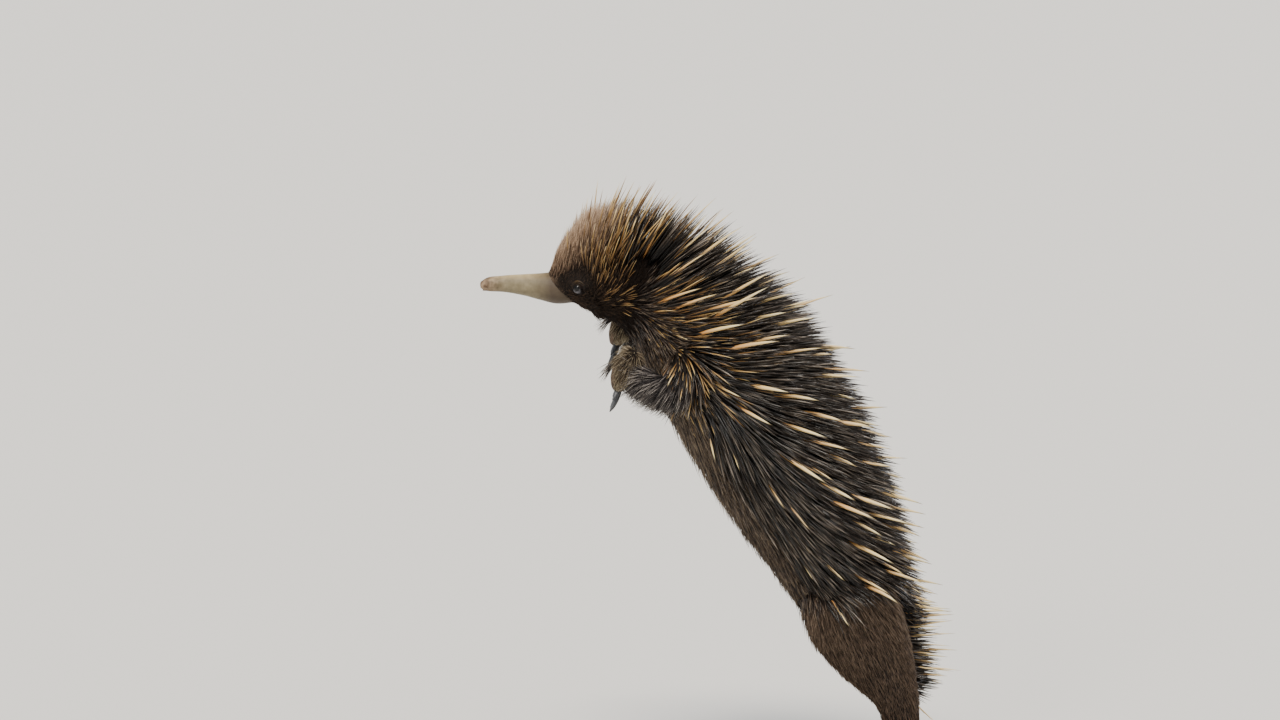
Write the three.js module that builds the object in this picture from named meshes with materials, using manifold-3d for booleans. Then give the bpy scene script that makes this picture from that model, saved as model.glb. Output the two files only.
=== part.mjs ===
// A life-size short-beaked echidna that stands upright on its hind feet, reaching up and forward with its
// forepaws and beak, on a plain display base. Millimetres, +Z up. The beak points along -X and the animal's
// left side faces -Y. The origin is the middle of the base's underside.
import * as THREE from "three";
import { mergeVertices } from "three/addons/utils/BufferGeometryUtils.js";
import Module from "manifold-3d";

const wasm = await Module();
wasm.setup();

const { Vector3, CatmullRomCurve3 } = THREE;
const { Manifold, Mesh } = wasm;
const UP = new Vector3(0, 0, 1);
const FORWARD = new Vector3(-1, 0, 0);
const LEFT = new Vector3(0, -1, 0);
const DEGREE = Math.PI / 180;
const SIDES = { left: -1, right: 1 };

// Sizes that hold for the whole animal
const GAP = 0.35; // between two nodes that meet
const BASE = { length: 300, width: 220, thickness: 14, corner: 42, bevel: 1.5 };
const SOLE = BASE.thickness + GAP; // level of the hind feet's soles

// Closed solid from corner points and triangles, turned right side out.
function solidFrom(points, triangles) {
  const build = (faces) =>
    new Manifold(
      new Mesh({
        numProp: 3,
        vertProperties: new Float32Array(points.flatMap((p) => [p.x, p.y, p.z])),
        triVerts: new Uint32Array(faces.flat()),
      }),
    );
  const made = build(triangles);
  return made.volume() > 0 ? made : build(triangles.map(([a, b, c]) => [a, c, b]));
}

// Solid of a three.js geometry that is closed.
function solidOf(geometry) {
  const bare = geometry.clone();
  bare.deleteAttribute("normal");
  bare.deleteAttribute("uv");
  const merged = mergeVertices(bare, 1e-3);
  return new Manifold(
    new Mesh({
      numProp: 3,
      vertProperties: new Float32Array(merged.attributes.position.array),
      triVerts: new Uint32Array(merged.index.array),
    }),
  );
}

// Solid through rings of equally many points, closed at either end by a fan about a point.
function skinOver(rings, firstPole, lastPole) {
  const sides = rings[0].length;
  const points = [...rings.flat(), firstPole, lastPole];
  const first = rings.length * sides;
  const last = (rings.length - 1) * sides;
  const triangles = [];
  for (let side = 0; side < sides; side++) {
    const next = (side + 1) % sides;
    for (let low = 0; low < last; low += sides) {
      const high = low + sides;
      triangles.push([low + side, low + next, high + side]);
      triangles.push([low + next, high + next, high + side]);
    }
    triangles.push([first, next, side]);
    triangles.push([first + 1, last + side, last + next]);
  }
  return solidFrom(points, triangles);
}

// Points of an ellipse about a centre; angle 0 lies along "up", and a quarter turn on along "across".
function ellipse(centre, up, across, depth, width, sides) {
  return Array.from({ length: sides }, (_, i) => {
    const angle = (2 * Math.PI * i) / sides;
    return centre
      .clone()
      .addScaledVector(up, depth * Math.cos(angle))
      .addScaledVector(across, width * Math.sin(angle));
  });
}

// A tapering tube through stations, each with its place, half depth and half width, and blunt ends.
function tube(stations, { rings = 10, sides = 14, across = LEFT, blunt = 0.6 } = {}) {
  const line = new CatmullRomCurve3(stations.map((s) => new Vector3(...s.at)));
  const sizes = new CatmullRomCurve3(stations.map((s) => new Vector3(s.depth, s.width, 0)));
  const sectionAt = (t) => {
    const tangent = line.getTangent(t);
    const side = across.clone().addScaledVector(tangent, -across.dot(tangent)).normalize();
    return { centre: line.getPoint(t), tangent, side, up: tangent.clone().cross(side), size: sizes.getPoint(t) };
  };
  const made = [];
  for (let i = 0; i <= rings; i++) {
    const { centre, side, up, size } = sectionAt(i / rings);
    made.push(ellipse(centre, up, side, size.x, size.y, sides));
  }
  const [start, end] = [sectionAt(0), sectionAt(1)];
  const startPole = start.centre.addScaledVector(start.tangent, -blunt * start.size.x);
  const endPole = end.centre.addScaledVector(end.tangent, blunt * end.size.x);
  return skinOver(made, startPole, endPole);
}

// The largest body of a solid, which fills a sealed hollow and drops a loose scrap.
function largest(solid) {
  return solid.decompose().sort((a, b) => b.volume() - a.volume())[0];
}

// The scene graph takes each finished solid as a named mesh with its material.
const material = (colour, roughness) =>
  new THREE.MeshStandardMaterial({ color: colour, roughness, metalness: 0 });
const MATERIALS = {
  coat: material("#33271f", 0.85),
  faceFur: material("#4a3428", 0.85),
  beakSkin: material("#7d7363", 0.6),
  eye: material("#0b0a0c", 0.1),
  pawSkin: material("#5a4a3d", 0.7),
  stand: material("#3a2a1e", 0.45),
};
const echidna = new THREE.Group();

function addNode(name, solid, finish) {
  const { numProp, numVert, vertProperties, triVerts } = solid.getMesh();
  const positions = new Float32Array(numVert * 3);
  for (let i = 0; i < numVert; i++) {
    positions.set(vertProperties.subarray(i * numProp, i * numProp + 3), i * 3);
  }
  const geometry = new THREE.BufferGeometry()
    .setAttribute("position", new THREE.BufferAttribute(positions, 3))
    .setIndex(new THREE.BufferAttribute(triVerts, 1));
  geometry.computeVertexNormals();
  const mesh = new THREE.Mesh(geometry, finish);
  mesh.name = name;
  echidna.add(mesh);
}

// Trunk: the middle of each section in the animal's own mid plane, with its half depth, from back to belly,
// and its half width, from side to side, from the root of the beak to the tip of the tail.
const TRUNK = [
  { at: "muzzle", x: -178, z: 364.5, depth: 11, width: 10.5 },
  { at: "brow", x: -165, z: 371.6, depth: 20.5, width: 18 },
  { at: "crown", x: -148, z: 376, depth: 31, width: 27 },
  { at: "nape", x: -130, z: 374, depth: 34, width: 30 },
  { at: "neck", x: -112, z: 365, depth: 35, width: 31 },
  { at: "shoulder", x: -92, z: 348, depth: 39, width: 40 },
  { at: "chest", x: -67, z: 318, depth: 47, width: 53 },
  { at: "back", x: -41, z: 282, depth: 52, width: 60 },
  { at: "loin", x: -15, z: 240.5, depth: 52, width: 62 },
  { at: "haunch", x: 7, z: 200.5, depth: 47.5, width: 59 },
  { at: "croup", x: 26, z: 160, depth: 39.5, width: 52 },
  { at: "rump", x: 44, z: 124, depth: 29, width: 40 },
  { at: "tail_root", x: 61, z: 100, depth: 17, width: 21 },
  { at: "tail_tip", x: 79, z: 72, depth: 7, width: 8 },
];
const TRUNK_RINGS = 36;
const TRUNK_SIDES = 26;

// Where the trunk is parted, each cut by a point in the mid plane and by how far it leans back from level.
const PARTINGS = {
  head: { x: -120, z: 363, lean: 68 },
  neck: { x: -103, z: 356, lean: 58 },
  tail: { x: 55, z: 108, lean: -4 },
};

const trunkLine = new CatmullRomCurve3(TRUNK.map((s) => new Vector3(s.x, 0, s.z)));
const trunkSizes = new CatmullRomCurve3(TRUNK.map((s) => new Vector3(s.depth, s.width, 0)));

// A section of the trunk: its middle, its tailward and backward directions, and its half sizes.
function trunkAt(t) {
  const tailward = trunkLine.getTangent(t);
  const sizes = trunkSizes.getPoint(t);
  return {
    centre: trunkLine.getPoint(t),
    tailward,
    backward: new Vector3(-tailward.z, 0, tailward.x),
    depth: sizes.x,
    width: sizes.y,
  };
}

// The smooth trunk, with every half size larger by "grow".
function trunk(grow) {
  const rings = [];
  for (let i = 0; i <= TRUNK_RINGS; i++) {
    const s = trunkAt(i / TRUNK_RINGS);
    rings.push(ellipse(s.centre, s.backward, LEFT, s.depth + grow, s.width + grow, TRUNK_SIDES));
  }
  const [start, end] = [trunkAt(0), trunkAt(1)];
  const startPole = start.centre.addScaledVector(start.tailward, -0.3 * start.depth - grow);
  const endPole = end.centre.addScaledVector(end.tailward, 0.8 * end.depth + grow);
  return skinOver(rings, startPole, endPole);
}
const wholeTrunk = trunk(0);
const clearedTrunk = trunk(GAP);

// How far a point lies tailward of a parting plane.
function beyond(point, { x, z, lean }) {
  return (point.x - x) * Math.sin(lean * DEGREE) - (point.z - z) * Math.cos(lean * DEGREE);
}

// The part of a solid tailward of one parting and headward of another, half a gap from each.
function between(solid, front, rear) {
  const trimmed = (kept, { x, z, lean }, way) => {
    const normal = [way * Math.sin(lean * DEGREE), 0, -way * Math.cos(lean * DEGREE)];
    return kept.trimByPlane(normal, normal[0] * x + normal[2] * z + GAP / 2);
  };
  const headless = front ? trimmed(solid, front, 1) : solid;
  return rear ? trimmed(headless, rear, -1) : headless;
}

// Beak: a bare, slender snout that flares into the face, with two nostril pits and a small slit of a mouth.
const BEAK = [
  { at: [-229.5, 0, 366.3], depth: 3.6, width: 4 },
  { at: [-224, 0, 367.5], depth: 5.1, width: 5.2 },
  { at: [-212, 0, 368], depth: 6.3, width: 6 },
  { at: [-198, 0, 367.2], depth: 8, width: 7.6 },
  { at: [-186, 0, 366], depth: 10, width: 9.6 },
  { at: [-175, 0, 365.2], depth: 11.8, width: 11.6 },
];
const NOSTRIL = { x: -224.5, y: 2.4, z: 371.6, length: 2.2, width: 2.2, depth: 3.5 };
const MOUTH = { x: -229, z: 363.8, length: 12, width: 14, height: 0.9 };

function beakSolid() {
  const snout = tube(BEAK, { rings: 9, sides: 13, blunt: 0.5 });
  const nostrils = Object.values(SIDES).map((side) =>
    solidOf(
      new THREE.SphereGeometry(0.5, 7, 5)
        .scale(NOSTRIL.length, NOSTRIL.width, NOSTRIL.depth)
        .translate(NOSTRIL.x, side * NOSTRIL.y, NOSTRIL.z),
    ),
  );
  const mouth = solidOf(
    new THREE.BoxGeometry(MOUTH.length, MOUTH.width, MOUTH.height).translate(MOUTH.x, 0, MOUTH.z),
  );
  return largest(snout.subtract(clearedTrunk).subtract(Manifold.union([...nostrils, mouth])));
}

// Eyes: small dark globes, each sunk in a socket ringed by its lids.
const EYE = { x: -158.8, y: 18.4, z: 366, radius: 4 };
const LID = { radius: 4.5, thickness: 1.5, outward: 1.6, turn: 28 }; // turned to face forwards a little

function eyeBall(side, radius) {
  return solidOf(new THREE.SphereGeometry(radius, 10, 7).translate(EYE.x, side * EYE.y, EYE.z));
}
function lidRing(side) {
  return solidOf(
    new THREE.TorusGeometry(LID.radius, LID.thickness, 5, 12)
      .rotateX(Math.PI / 2)
      .translate(0, side * LID.outward, 0)
      .rotateZ(side * LID.turn * DEGREE)
      .translate(EYE.x, side * EYE.y, EYE.z),
  );
}

// Ears: an upright slit with a low rim round it, behind and below the eye.
const EAR = { x: -130, y: 29, z: 366, height: 8.5, width: 3, rim: 1.4, depth: 6 };

function earRim(side) {
  return solidOf(
    new THREE.TorusGeometry(1, EAR.rim / EAR.height, 4, 10)
      .scale(EAR.width + EAR.rim, EAR.height, EAR.height)
      .rotateX(Math.PI / 2)
      .translate(EAR.x, side * EAR.y, EAR.z),
  );
}
function earSlit(side) {
  return solidOf(
    new THREE.SphereGeometry(1, 6, 5)
      .scale(0.7 * EAR.width, EAR.depth, 0.85 * EAR.height)
      .translate(EAR.x, side * EAR.y, EAR.z),
  );
}

// The head without its spines
function headCore() {
  const both = (make) => Object.values(SIDES).map(make);
  const raised = Manifold.union([between(wholeTrunk, null, PARTINGS.head), ...both(lidRing), ...both(earRim)]);
  const sockets = both((side) => eyeBall(side, EYE.radius + GAP));
  return raised.subtract(Manifold.union([...sockets, ...both(earSlit)]));
}

// Limbs are given for the left side. The right side is their mirror image, and the right forepaw also
// reaches further, its foreleg stretching towards it.
const FORELEG = [
  { at: [-74, -32, 322], depth: 20, width: 18 },
  { at: [-82, -48, 305], depth: 19, width: 17 },
  { at: [-92, -55, 296], depth: 17, width: 16 },
  { at: [-106, -53, 299], depth: 14.5, width: 14 },
  { at: [-120, -48, 308], depth: 12, width: 13 },
];
const FOREPAW = [
  { at: [-119, -48, 319], depth: 7.5, width: 10 },
  { at: [-124, -47, 312], depth: 9.5, width: 14.5 },
  { at: [-128, -46, 303], depth: 8.5, width: 15.5 },
  { at: [-130, -45, 297], depth: 6, width: 13.5 },
];
const WRIST = { at: [-116, -48, 306], out: [-0.97, 0.1, 0.2] };
const FORECLAWS = {
  bearings: [-42, -20, 0, 20, 42],
  lengths: [12, 16, 17, 16, 12],
  width: 6.2,
  thickness: 4.6,
};
const FORETOE = { reach: 8, length: 8, depth: 4, width: 4 };
const RIGHT_REACH = new Vector3(-2, 0, 24);

const HINDLEG = [
  { at: [30, -26, 148], depth: 30, width: 25 },
  { at: [42, -34, 126], depth: 36, width: 29 },
  { at: [57, -42, 100], depth: 31, width: 26.5 },
  { at: [70, -47, 76], depth: 21.5, width: 21.5 },
  { at: [76, -48, 58], depth: 16.5, width: 17.5 },
  { at: [78, -48, 42], depth: 13.5, width: 14.5 },
  { at: [78, -48, 26], depth: 12.5, width: 13 },
];
const ANKLE = { at: [78, -48, 38], out: [0, 0, -1] };
const HINDFOOT = [
  { at: [65, -34, 23], depth: 9, width: 12 },
  { at: [76, -47, 24.5], depth: 12, width: 16 },
  { at: [87, -61, 22.5], depth: 10, width: 18 },
  { at: [93, -69, 20], depth: 6.5, width: 15.5 },
];
const HINDCLAWS = {
  bearings: [-52, -26, -2, 22, 46],
  lengths: [9, 29, 22, 13, 9],
  width: 5,
  thickness: 4.2,
};
const HINDTOE = { reach: 13, length: 9, depth: 4.4, width: 4.4 };

const onSide = ([x, y, z], side) => new Vector3(x, -side * y, z);

// A claw: a flattened horn that leaves its root along "out" and curls towards "curl".
function claw(root, out, curl, length, width, thickness) {
  const rings = 3;
  const sides = 5;
  const across = out.clone().cross(curl).normalize();
  const line = new THREE.QuadraticBezierCurve3(
    root,
    root.clone().addScaledVector(out, 0.55 * length),
    root.clone().addScaledVector(out, length).addScaledVector(curl, 0.3 * length),
  );
  const made = [];
  for (let i = 0; i < rings; i++) {
    const u = i / rings;
    const slim = Math.sqrt(1 - u * u);
    const up = line.getTangent(u).cross(across);
    made.push(ellipse(line.getPoint(u), up, across, (slim * thickness) / 2, (slim * width) / 2, sides));
  }
  return skinOver(made, line.getPoint(0), line.getPoint(1));
}

// Toes in a fan about a palm, each heading its bearing from "out" about the axis "turn", each with a claw.
function toes(palm, out, turn, curl, toe, claws) {
  return claws.bearings.flatMap((bearing, i) => {
    const heading = out.clone().applyAxisAngle(turn, bearing * DEGREE);
    const tip = palm.clone().addScaledVector(heading, toe.reach);
    const knuckle = tip.clone().addScaledVector(heading, -toe.length);
    const digit = tube(
      [
        { at: knuckle.toArray(), depth: toe.depth, width: toe.width },
        { at: tip.toArray(), depth: 0.85 * toe.depth, width: 0.9 * toe.width },
      ],
      { rings: 1, sides: 6, across: turn.clone().cross(heading) },
    );
    return [digit, claw(tip, heading, curl, claws.lengths[i], claws.width, claws.thickness)];
  });
}

// A limb parted by a plane into the part nearer the trunk and the part beyond it, both clear of the trunk.
function parted(whole, point, out) {
  const offset = out.dot(point);
  const outer = whole.trimByPlane(out.toArray(), offset + GAP / 2);
  const inner = whole.trimByPlane(out.clone().negate().toArray(), GAP / 2 - offset);
  return [largest(inner.subtract(clearedTrunk)), largest(outer.subtract(clearedTrunk))];
}

function foreLimb(side) {
  const reach = side === SIDES.right ? RIGHT_REACH : new Vector3();
  const moved = (at, share) => onSide(at, side).addScaledVector(reach, share).toArray();
  const stretch = FORELEG.map((s, i) => ({ ...s, at: moved(s.at, i / (FORELEG.length - 1)) }));
  const arm = tube(stretch, { rings: 9, sides: 12 });
  const hand = FOREPAW.map((s) => ({ ...s, at: moved(s.at, 1) }));
  const palm = new Vector3(...hand[2].at);
  const down = new Vector3(-0.12, 0, -0.99).normalize();
  const fan = toes(palm, down, FORWARD, FORWARD, FORETOE, FORECLAWS);
  const whole = Manifold.union([arm, tube(hand, { rings: 5, sides: 11 }), ...fan]);
  return parted(whole, new Vector3(...moved(WRIST.at, 1)), onSide(WRIST.out, side).normalize());
}

function hindLimb(side) {
  const placed = (stations) => stations.map((s) => ({ ...s, at: onSide(s.at, side).toArray() }));
  const leg = tube(placed(HINDLEG), { rings: 10, sides: 13 });
  const foot = placed(HINDFOOT);
  const heel = new Vector3(...foot[0].at);
  const instep = new Vector3(...foot[2].at);
  const outward = instep.clone().sub(heel).setZ(0).normalize();
  const palm = instep.clone().setZ(SOLE + HINDTOE.depth);
  const curl = new Vector3(0, 0, -0.3);
  const fan = toes(palm, outward, UP.clone().multiplyScalar(-side), curl, HINDTOE, HINDCLAWS);
  const whole = Manifold.union([leg, tube(foot, { rings: 6, sides: 11 }), ...fan]);
  return parted(whole.trimByPlane([0, 0, 1], SOLE), onSide(ANKLE.at, side), new Vector3(...ANKLE.out));
}

// Stand: a plain bevelled board with rounded corners.
function standBoard() {
  const { length, width, thickness, corner, bevel } = BASE;
  const outline = new THREE.Shape();
  const x = length / 2 - bevel;
  const y = width / 2 - bevel;
  const r = corner - bevel;
  outline.absarc(x - r, y - r, r, 0, Math.PI / 2);
  outline.absarc(-x + r, y - r, r, Math.PI / 2, Math.PI);
  outline.absarc(-x + r, -y + r, r, Math.PI, 1.5 * Math.PI);
  outline.absarc(x - r, -y + r, r, 1.5 * Math.PI, 2 * Math.PI);
  const board = new THREE.ExtrudeGeometry(outline, {
    depth: thickness - 2 * bevel,
    bevelEnabled: true,
    bevelThickness: bevel,
    bevelSize: bevel,
    bevelSegments: 1,
    curveSegments: 4,
  });
  return solidOf(board.translate(0, 0, bevel));
}

// Spines grow over the head, back and tail. For sections of the trunk: the spines' length on the back line,
// their angle from the tailward line on the back line (rise) and on the flank (sweep), how far round from
// the back line they grow (edge), in degrees, and how far apart and how thick they are.
const SPINES = {
  muzzle: { length: 10, rise: 96, sweep: 96, edge: 0, spacing: 8, thickness: 1.7 },
  brow: { length: 16, rise: 94, sweep: 94, edge: 52, spacing: 8, thickness: 1.8 },
  crown: { length: 20, rise: 80, sweep: 86, edge: 76, spacing: 8, thickness: 2 },
  nape: { length: 24, rise: 70, sweep: 80, edge: 97, spacing: 8.5, thickness: 2.2 },
  neck: { length: 29, rise: 74, sweep: 82, edge: 92, spacing: 10, thickness: 2.6 },
  shoulder: { length: 38, rise: 84, sweep: 88, edge: 88, spacing: 12, thickness: 3 },
  chest: { length: 43, rise: 74, sweep: 79, edge: 92, spacing: 13.5, thickness: 3.1 },
  back: { length: 45, rise: 62, sweep: 62, edge: 104, spacing: 14, thickness: 3.2 },
  loin: { length: 44, rise: 57, sweep: 45, edge: 112, spacing: 14.3, thickness: 3.2 },
  haunch: { length: 44, rise: 57, sweep: 34, edge: 114, spacing: 14.3, thickness: 3.2 },
  croup: { length: 42, rise: 60, sweep: 30, edge: 108, spacing: 13.5, thickness: 3.1 },
  rump: { length: 38, rise: 64, sweep: 34, edge: 100, spacing: 12, thickness: 2.9 },
  tail_root: { length: 26, rise: 64, sweep: 50, edge: 112, spacing: 10, thickness: 2.5 },
  tail_tip: { length: 21, rise: 54, sweep: 54, edge: 150, spacing: 8, thickness: 2.3 },
};
const FLANK_SHARE = 0.72; // of a spine's length, where it grows furthest round the flank
const FLARE = 0.5; // how much the flank's spines stand away from the mid plane
const JITTER = { place: 0.22, length: 0.12, angle: 5 };
const SPINE = { sides: 3, widest: 0.42, root: 0.7, cover: 1.3, shallowest: 0.3 };
const LIFTS = [0, 0.25, 0.6, 1.1]; // towards the surface's normal, tried in turn where a spine would touch
const TRIMS = [1, 0.75, 0.55]; // and how much of its length is kept
const SEED = 20731;

// A seeded draw between -1 and 1.
let state = SEED;
function draw() {
  state = (Math.imul(state, 1664525) + 1013904223) >>> 0;
  return state / 2 ** 31 - 1;
}

// A rule of the spines at a place along the trunk.
function spineRule(t, key) {
  const place = t * (TRUNK.length - 1);
  const low = Math.min(Math.floor(place), TRUNK.length - 2);
  const [here, next] = [SPINES[TRUNK[low].at][key], SPINES[TRUNK[low + 1].at][key]];
  return here + (next - here) * (place - low);
}

// A place on the trunk's surface with its outward normal.
function surfaceAt(t, angle) {
  const at = (along, round) => {
    const s = trunkAt(Math.min(Math.max(along, 0), 1));
    return s.centre
      .addScaledVector(s.backward, s.depth * Math.cos(round))
      .addScaledVector(LEFT, s.width * Math.sin(round));
  };
  const step = 1e-3;
  const lengthwise = at(t + step, angle).sub(at(t - step, angle));
  const roundwise = at(t, angle + step).sub(at(t, angle - step));
  const normal = lengthwise.cross(roundwise).normalize();
  const point = at(t, angle);
  return { point, normal: normal.dot(point.clone().sub(trunkLine.getPoint(t))) < 0 ? normal.negate() : normal };
}

// Where each spine grows and how it lies: rows across the trunk, staggered and unevenly spaced.
function spinePlan() {
  const plan = [];
  const length = trunkLine.getLength();
  let row = 0;
  for (let run = 0; run < length; row++) {
    const t = trunkLine.getUtoTmapping(run / length);
    const spacing = spineRule(t, "spacing");
    const edge = spineRule(t, "edge") * DEGREE;
    const { depth, width } = trunkAt(t);
    const across = (edge * (depth + width)) / 2;
    const half = Math.max(Math.floor(across / spacing), 0.5);
    const stagger = row % 2 ? 0.5 : 0;
    for (let i = stagger - Math.floor(half); i <= half; i++) {
      const angle = (edge * (i + JITTER.place * draw())) / half;
      const shifted = run + spacing * JITTER.place * draw();
      const place = trunkLine.getUtoTmapping(Math.min(Math.max(shifted / length, 0), 1));
      plan.push(spineAt(place, angle));
    }
    run += 0.87 * spacing;
  }
  return plan;
}

function spineAt(t, angle) {
  const { point, normal } = surfaceAt(t, angle);
  const { tailward, backward } = trunkAt(t);
  const round = Math.min(Math.abs(angle) / (Math.PI / 2), 1.2);
  const rise = spineRule(t, "rise");
  const lie = (rise + (spineRule(t, "sweep") - rise) * round + JITTER.angle * draw()) * DEGREE;
  const direction = tailward
    .multiplyScalar(Math.cos(lie))
    .addScaledVector(backward, Math.sin(lie))
    .addScaledVector(LEFT, FLARE * Math.sin(angle))
    .normalize();
  const share = 1 - (1 - FLANK_SHARE) * Math.min(round, 1);
  const length = spineRule(t, "length") * share * (1 + JITTER.length * draw());
  return { point, normal, direction, length, radius: spineRule(t, "thickness") / 2 };
}

// A straight spine, widest below its middle, its root sunk under the surface it grows from.
function spineSolid({ point, normal, direction, length, radius }, fatter) {
  const sunk = (SPINE.root * radius + SPINE.cover) / Math.max(direction.dot(normal), SPINE.shallowest);
  const across = direction.clone().cross(normal).normalize();
  const up = across.clone().cross(direction);
  const root = point.clone().addScaledVector(direction, -sunk);
  const belly = point.clone().addScaledVector(direction, SPINE.widest * length);
  const tip = point.clone().addScaledVector(direction, length + fatter);
  const rings = [
    ellipse(root, up, across, SPINE.root * radius + fatter, SPINE.root * radius + fatter, SPINE.sides),
    ellipse(belly, up, across, radius + fatter, radius + fatter, SPINE.sides),
  ];
  return skinOver(rings, root, tip);
}

// The spines of the plan that grow from each spiny node, each bent or shortened clear of every other node.
function spinesOf(owners, obstacles) {
  const grown = Object.fromEntries(Object.keys(owners).map((name) => [name, []]));
  for (const planned of spinePlan()) {
    const name = Object.keys(owners).find((owner) => owners[owner].holds(planned.point));
    if (!name) continue;
    const strangers = obstacles.filter((o) => o.name !== name);
    const kept = TRIMS.flatMap((trim) => LIFTS.map((lift) => ({ trim, lift }))).find(({ trim, lift }) => {
      const tried = bent(planned, lift, trim);
      return tried.length > 0 && isClear(spineSolid(tried, GAP), strangers);
    });
    if (!kept) continue;
    const solid = spineSolid(bent(planned, kept.lift, kept.trim), 0);
    grown[name].push(solid);
    obstacles.push({ name, solid, box: solid.boundingBox() });
  }
  return grown;
}

function bent(spine, lift, trim) {
  const direction = spine.direction.clone().addScaledVector(spine.normal, lift).normalize();
  return { ...spine, direction, length: spine.length * trim };
}

function isClear(solid, strangers) {
  const box = solid.boundingBox();
  const near = strangers.filter((o) =>
    [0, 1, 2].every((k) => o.box.min[k] < box.max[k] && o.box.max[k] > box.min[k]),
  );
  return near.every((o) => solid.intersect(o.solid).isEmpty());
}

// Everything put together: the plain nodes first, then the spiny ones, whose spines keep clear of them all
const solids = new Map();
solids.set("beak", { solid: beakSolid(), finish: MATERIALS.beakSkin });
for (const [word, side] of Object.entries(SIDES)) {
  const [foreleg, forepaw] = foreLimb(side);
  const [hindleg, hindfoot] = hindLimb(side);
  solids.set(`eye_${word}`, { solid: eyeBall(side, EYE.radius), finish: MATERIALS.eye });
  solids.set(`foreleg_${word}`, { solid: foreleg, finish: MATERIALS.coat });
  solids.set(`forepaw_${word}`, { solid: forepaw, finish: MATERIALS.pawSkin });
  solids.set(`hindleg_${word}`, { solid: hindleg, finish: MATERIALS.coat });
  solids.set(`hindfoot_${word}`, { solid: hindfoot, finish: MATERIALS.pawSkin });
}

const ROOT_MARGIN = 4; // between a spine's root and a parting
const earCentre = new Vector3(EAR.x, EAR.y, EAR.z);
const nearEar = (p) => earCentre.distanceTo(new Vector3(p.x, Math.abs(p.y), p.z)) < EAR.height + ROOT_MARGIN;
const spiny = {
  head: {
    core: headCore(),
    finish: MATERIALS.faceFur,
    holds: (p) => beyond(p, PARTINGS.head) < -ROOT_MARGIN && !nearEar(p),
  },
  neck: {
    core: between(wholeTrunk, PARTINGS.head, PARTINGS.neck),
    finish: MATERIALS.coat,
    holds: (p) => beyond(p, PARTINGS.head) > ROOT_MARGIN && beyond(p, PARTINGS.neck) < -ROOT_MARGIN,
  },
  torso: {
    core: between(wholeTrunk, PARTINGS.neck, PARTINGS.tail),
    finish: MATERIALS.coat,
    holds: (p) => beyond(p, PARTINGS.neck) > ROOT_MARGIN && beyond(p, PARTINGS.tail) < -ROOT_MARGIN,
  },
  tail: {
    core: between(wholeTrunk, PARTINGS.tail, null),
    finish: MATERIALS.coat,
    holds: (p) => beyond(p, PARTINGS.tail) > ROOT_MARGIN,
  },
};

const obstacles = [
  ...[...solids].map(([name, { solid }]) => ({ name, solid })),
  ...Object.entries(spiny).map(([name, { core }]) => ({ name, solid: core })),
].map((o) => ({ ...o, box: o.solid.boundingBox() }));
const grown = spinesOf(spiny, obstacles);

for (const [name, { core, finish }] of Object.entries(spiny)) {
  addNode(name, largest(Manifold.union([core, ...grown[name]])), finish);
}
for (const [name, { solid, finish }] of solids) {
  addNode(name, solid, finish);
}
addNode("stand_base", standBoard(), MATERIALS.stand);

export default echidna;
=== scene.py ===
import math

import bmesh
import bpy
import numpy as np
from mathutils import Matrix, Vector
from mathutils.bvhtree import BVHTree


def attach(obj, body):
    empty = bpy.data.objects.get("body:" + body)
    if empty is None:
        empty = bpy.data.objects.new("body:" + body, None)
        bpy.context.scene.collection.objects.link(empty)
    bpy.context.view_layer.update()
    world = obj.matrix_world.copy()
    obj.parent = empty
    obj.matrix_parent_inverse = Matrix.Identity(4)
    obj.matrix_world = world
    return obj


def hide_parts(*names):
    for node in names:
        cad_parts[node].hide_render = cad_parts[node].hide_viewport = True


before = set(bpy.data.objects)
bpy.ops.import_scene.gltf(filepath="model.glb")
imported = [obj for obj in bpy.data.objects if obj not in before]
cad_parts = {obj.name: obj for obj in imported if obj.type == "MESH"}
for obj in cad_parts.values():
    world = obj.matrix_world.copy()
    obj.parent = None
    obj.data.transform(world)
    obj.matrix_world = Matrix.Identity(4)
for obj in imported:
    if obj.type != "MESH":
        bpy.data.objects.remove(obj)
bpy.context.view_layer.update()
bpy.ops.object.select_all(action="DESELECT")

# The camera looks level with the animal's flank from three metres off its left side, a little from above. It
# keeps the photograph's framing, in which the hind feet and the board lie below the picture's edge.
MM = 0.001
AIM = Vector((-114, 0, 311.8)) * MM
DISTANCE = 3.0
DOWNWARD = math.radians(5.3)
PICTURE_WIDTH = 941.2 * MM  # at the aim's distance
SENSOR_WIDTH = 36

bpy.ops.object.camera_add(
    location=AIM + DISTANCE * Vector((0, -math.cos(DOWNWARD), math.sin(DOWNWARD))),
    rotation=(math.radians(90) - DOWNWARD, 0, 0),
)
camera = bpy.context.object
camera.data.sensor_width = SENSOR_WIDTH
camera.data.lens = SENSOR_WIDTH * DISTANCE / PICTURE_WIDTH
bpy.context.scene.camera = camera


# The floor is a wide, pale, matt sheet. Nothing on it draws the eye from the animal.
def linear(hex_colour):
    """A colour given as sRGB hex, turned to the linear values that shaders take."""
    shares = [int(hex_colour[i : i + 2], 16) / 255 for i in (1, 3, 5)]
    return [s / 12.92 if s <= 0.04045 else ((s + 0.055) / 1.055) ** 2.4 for s in shares] + [1.0]


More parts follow.
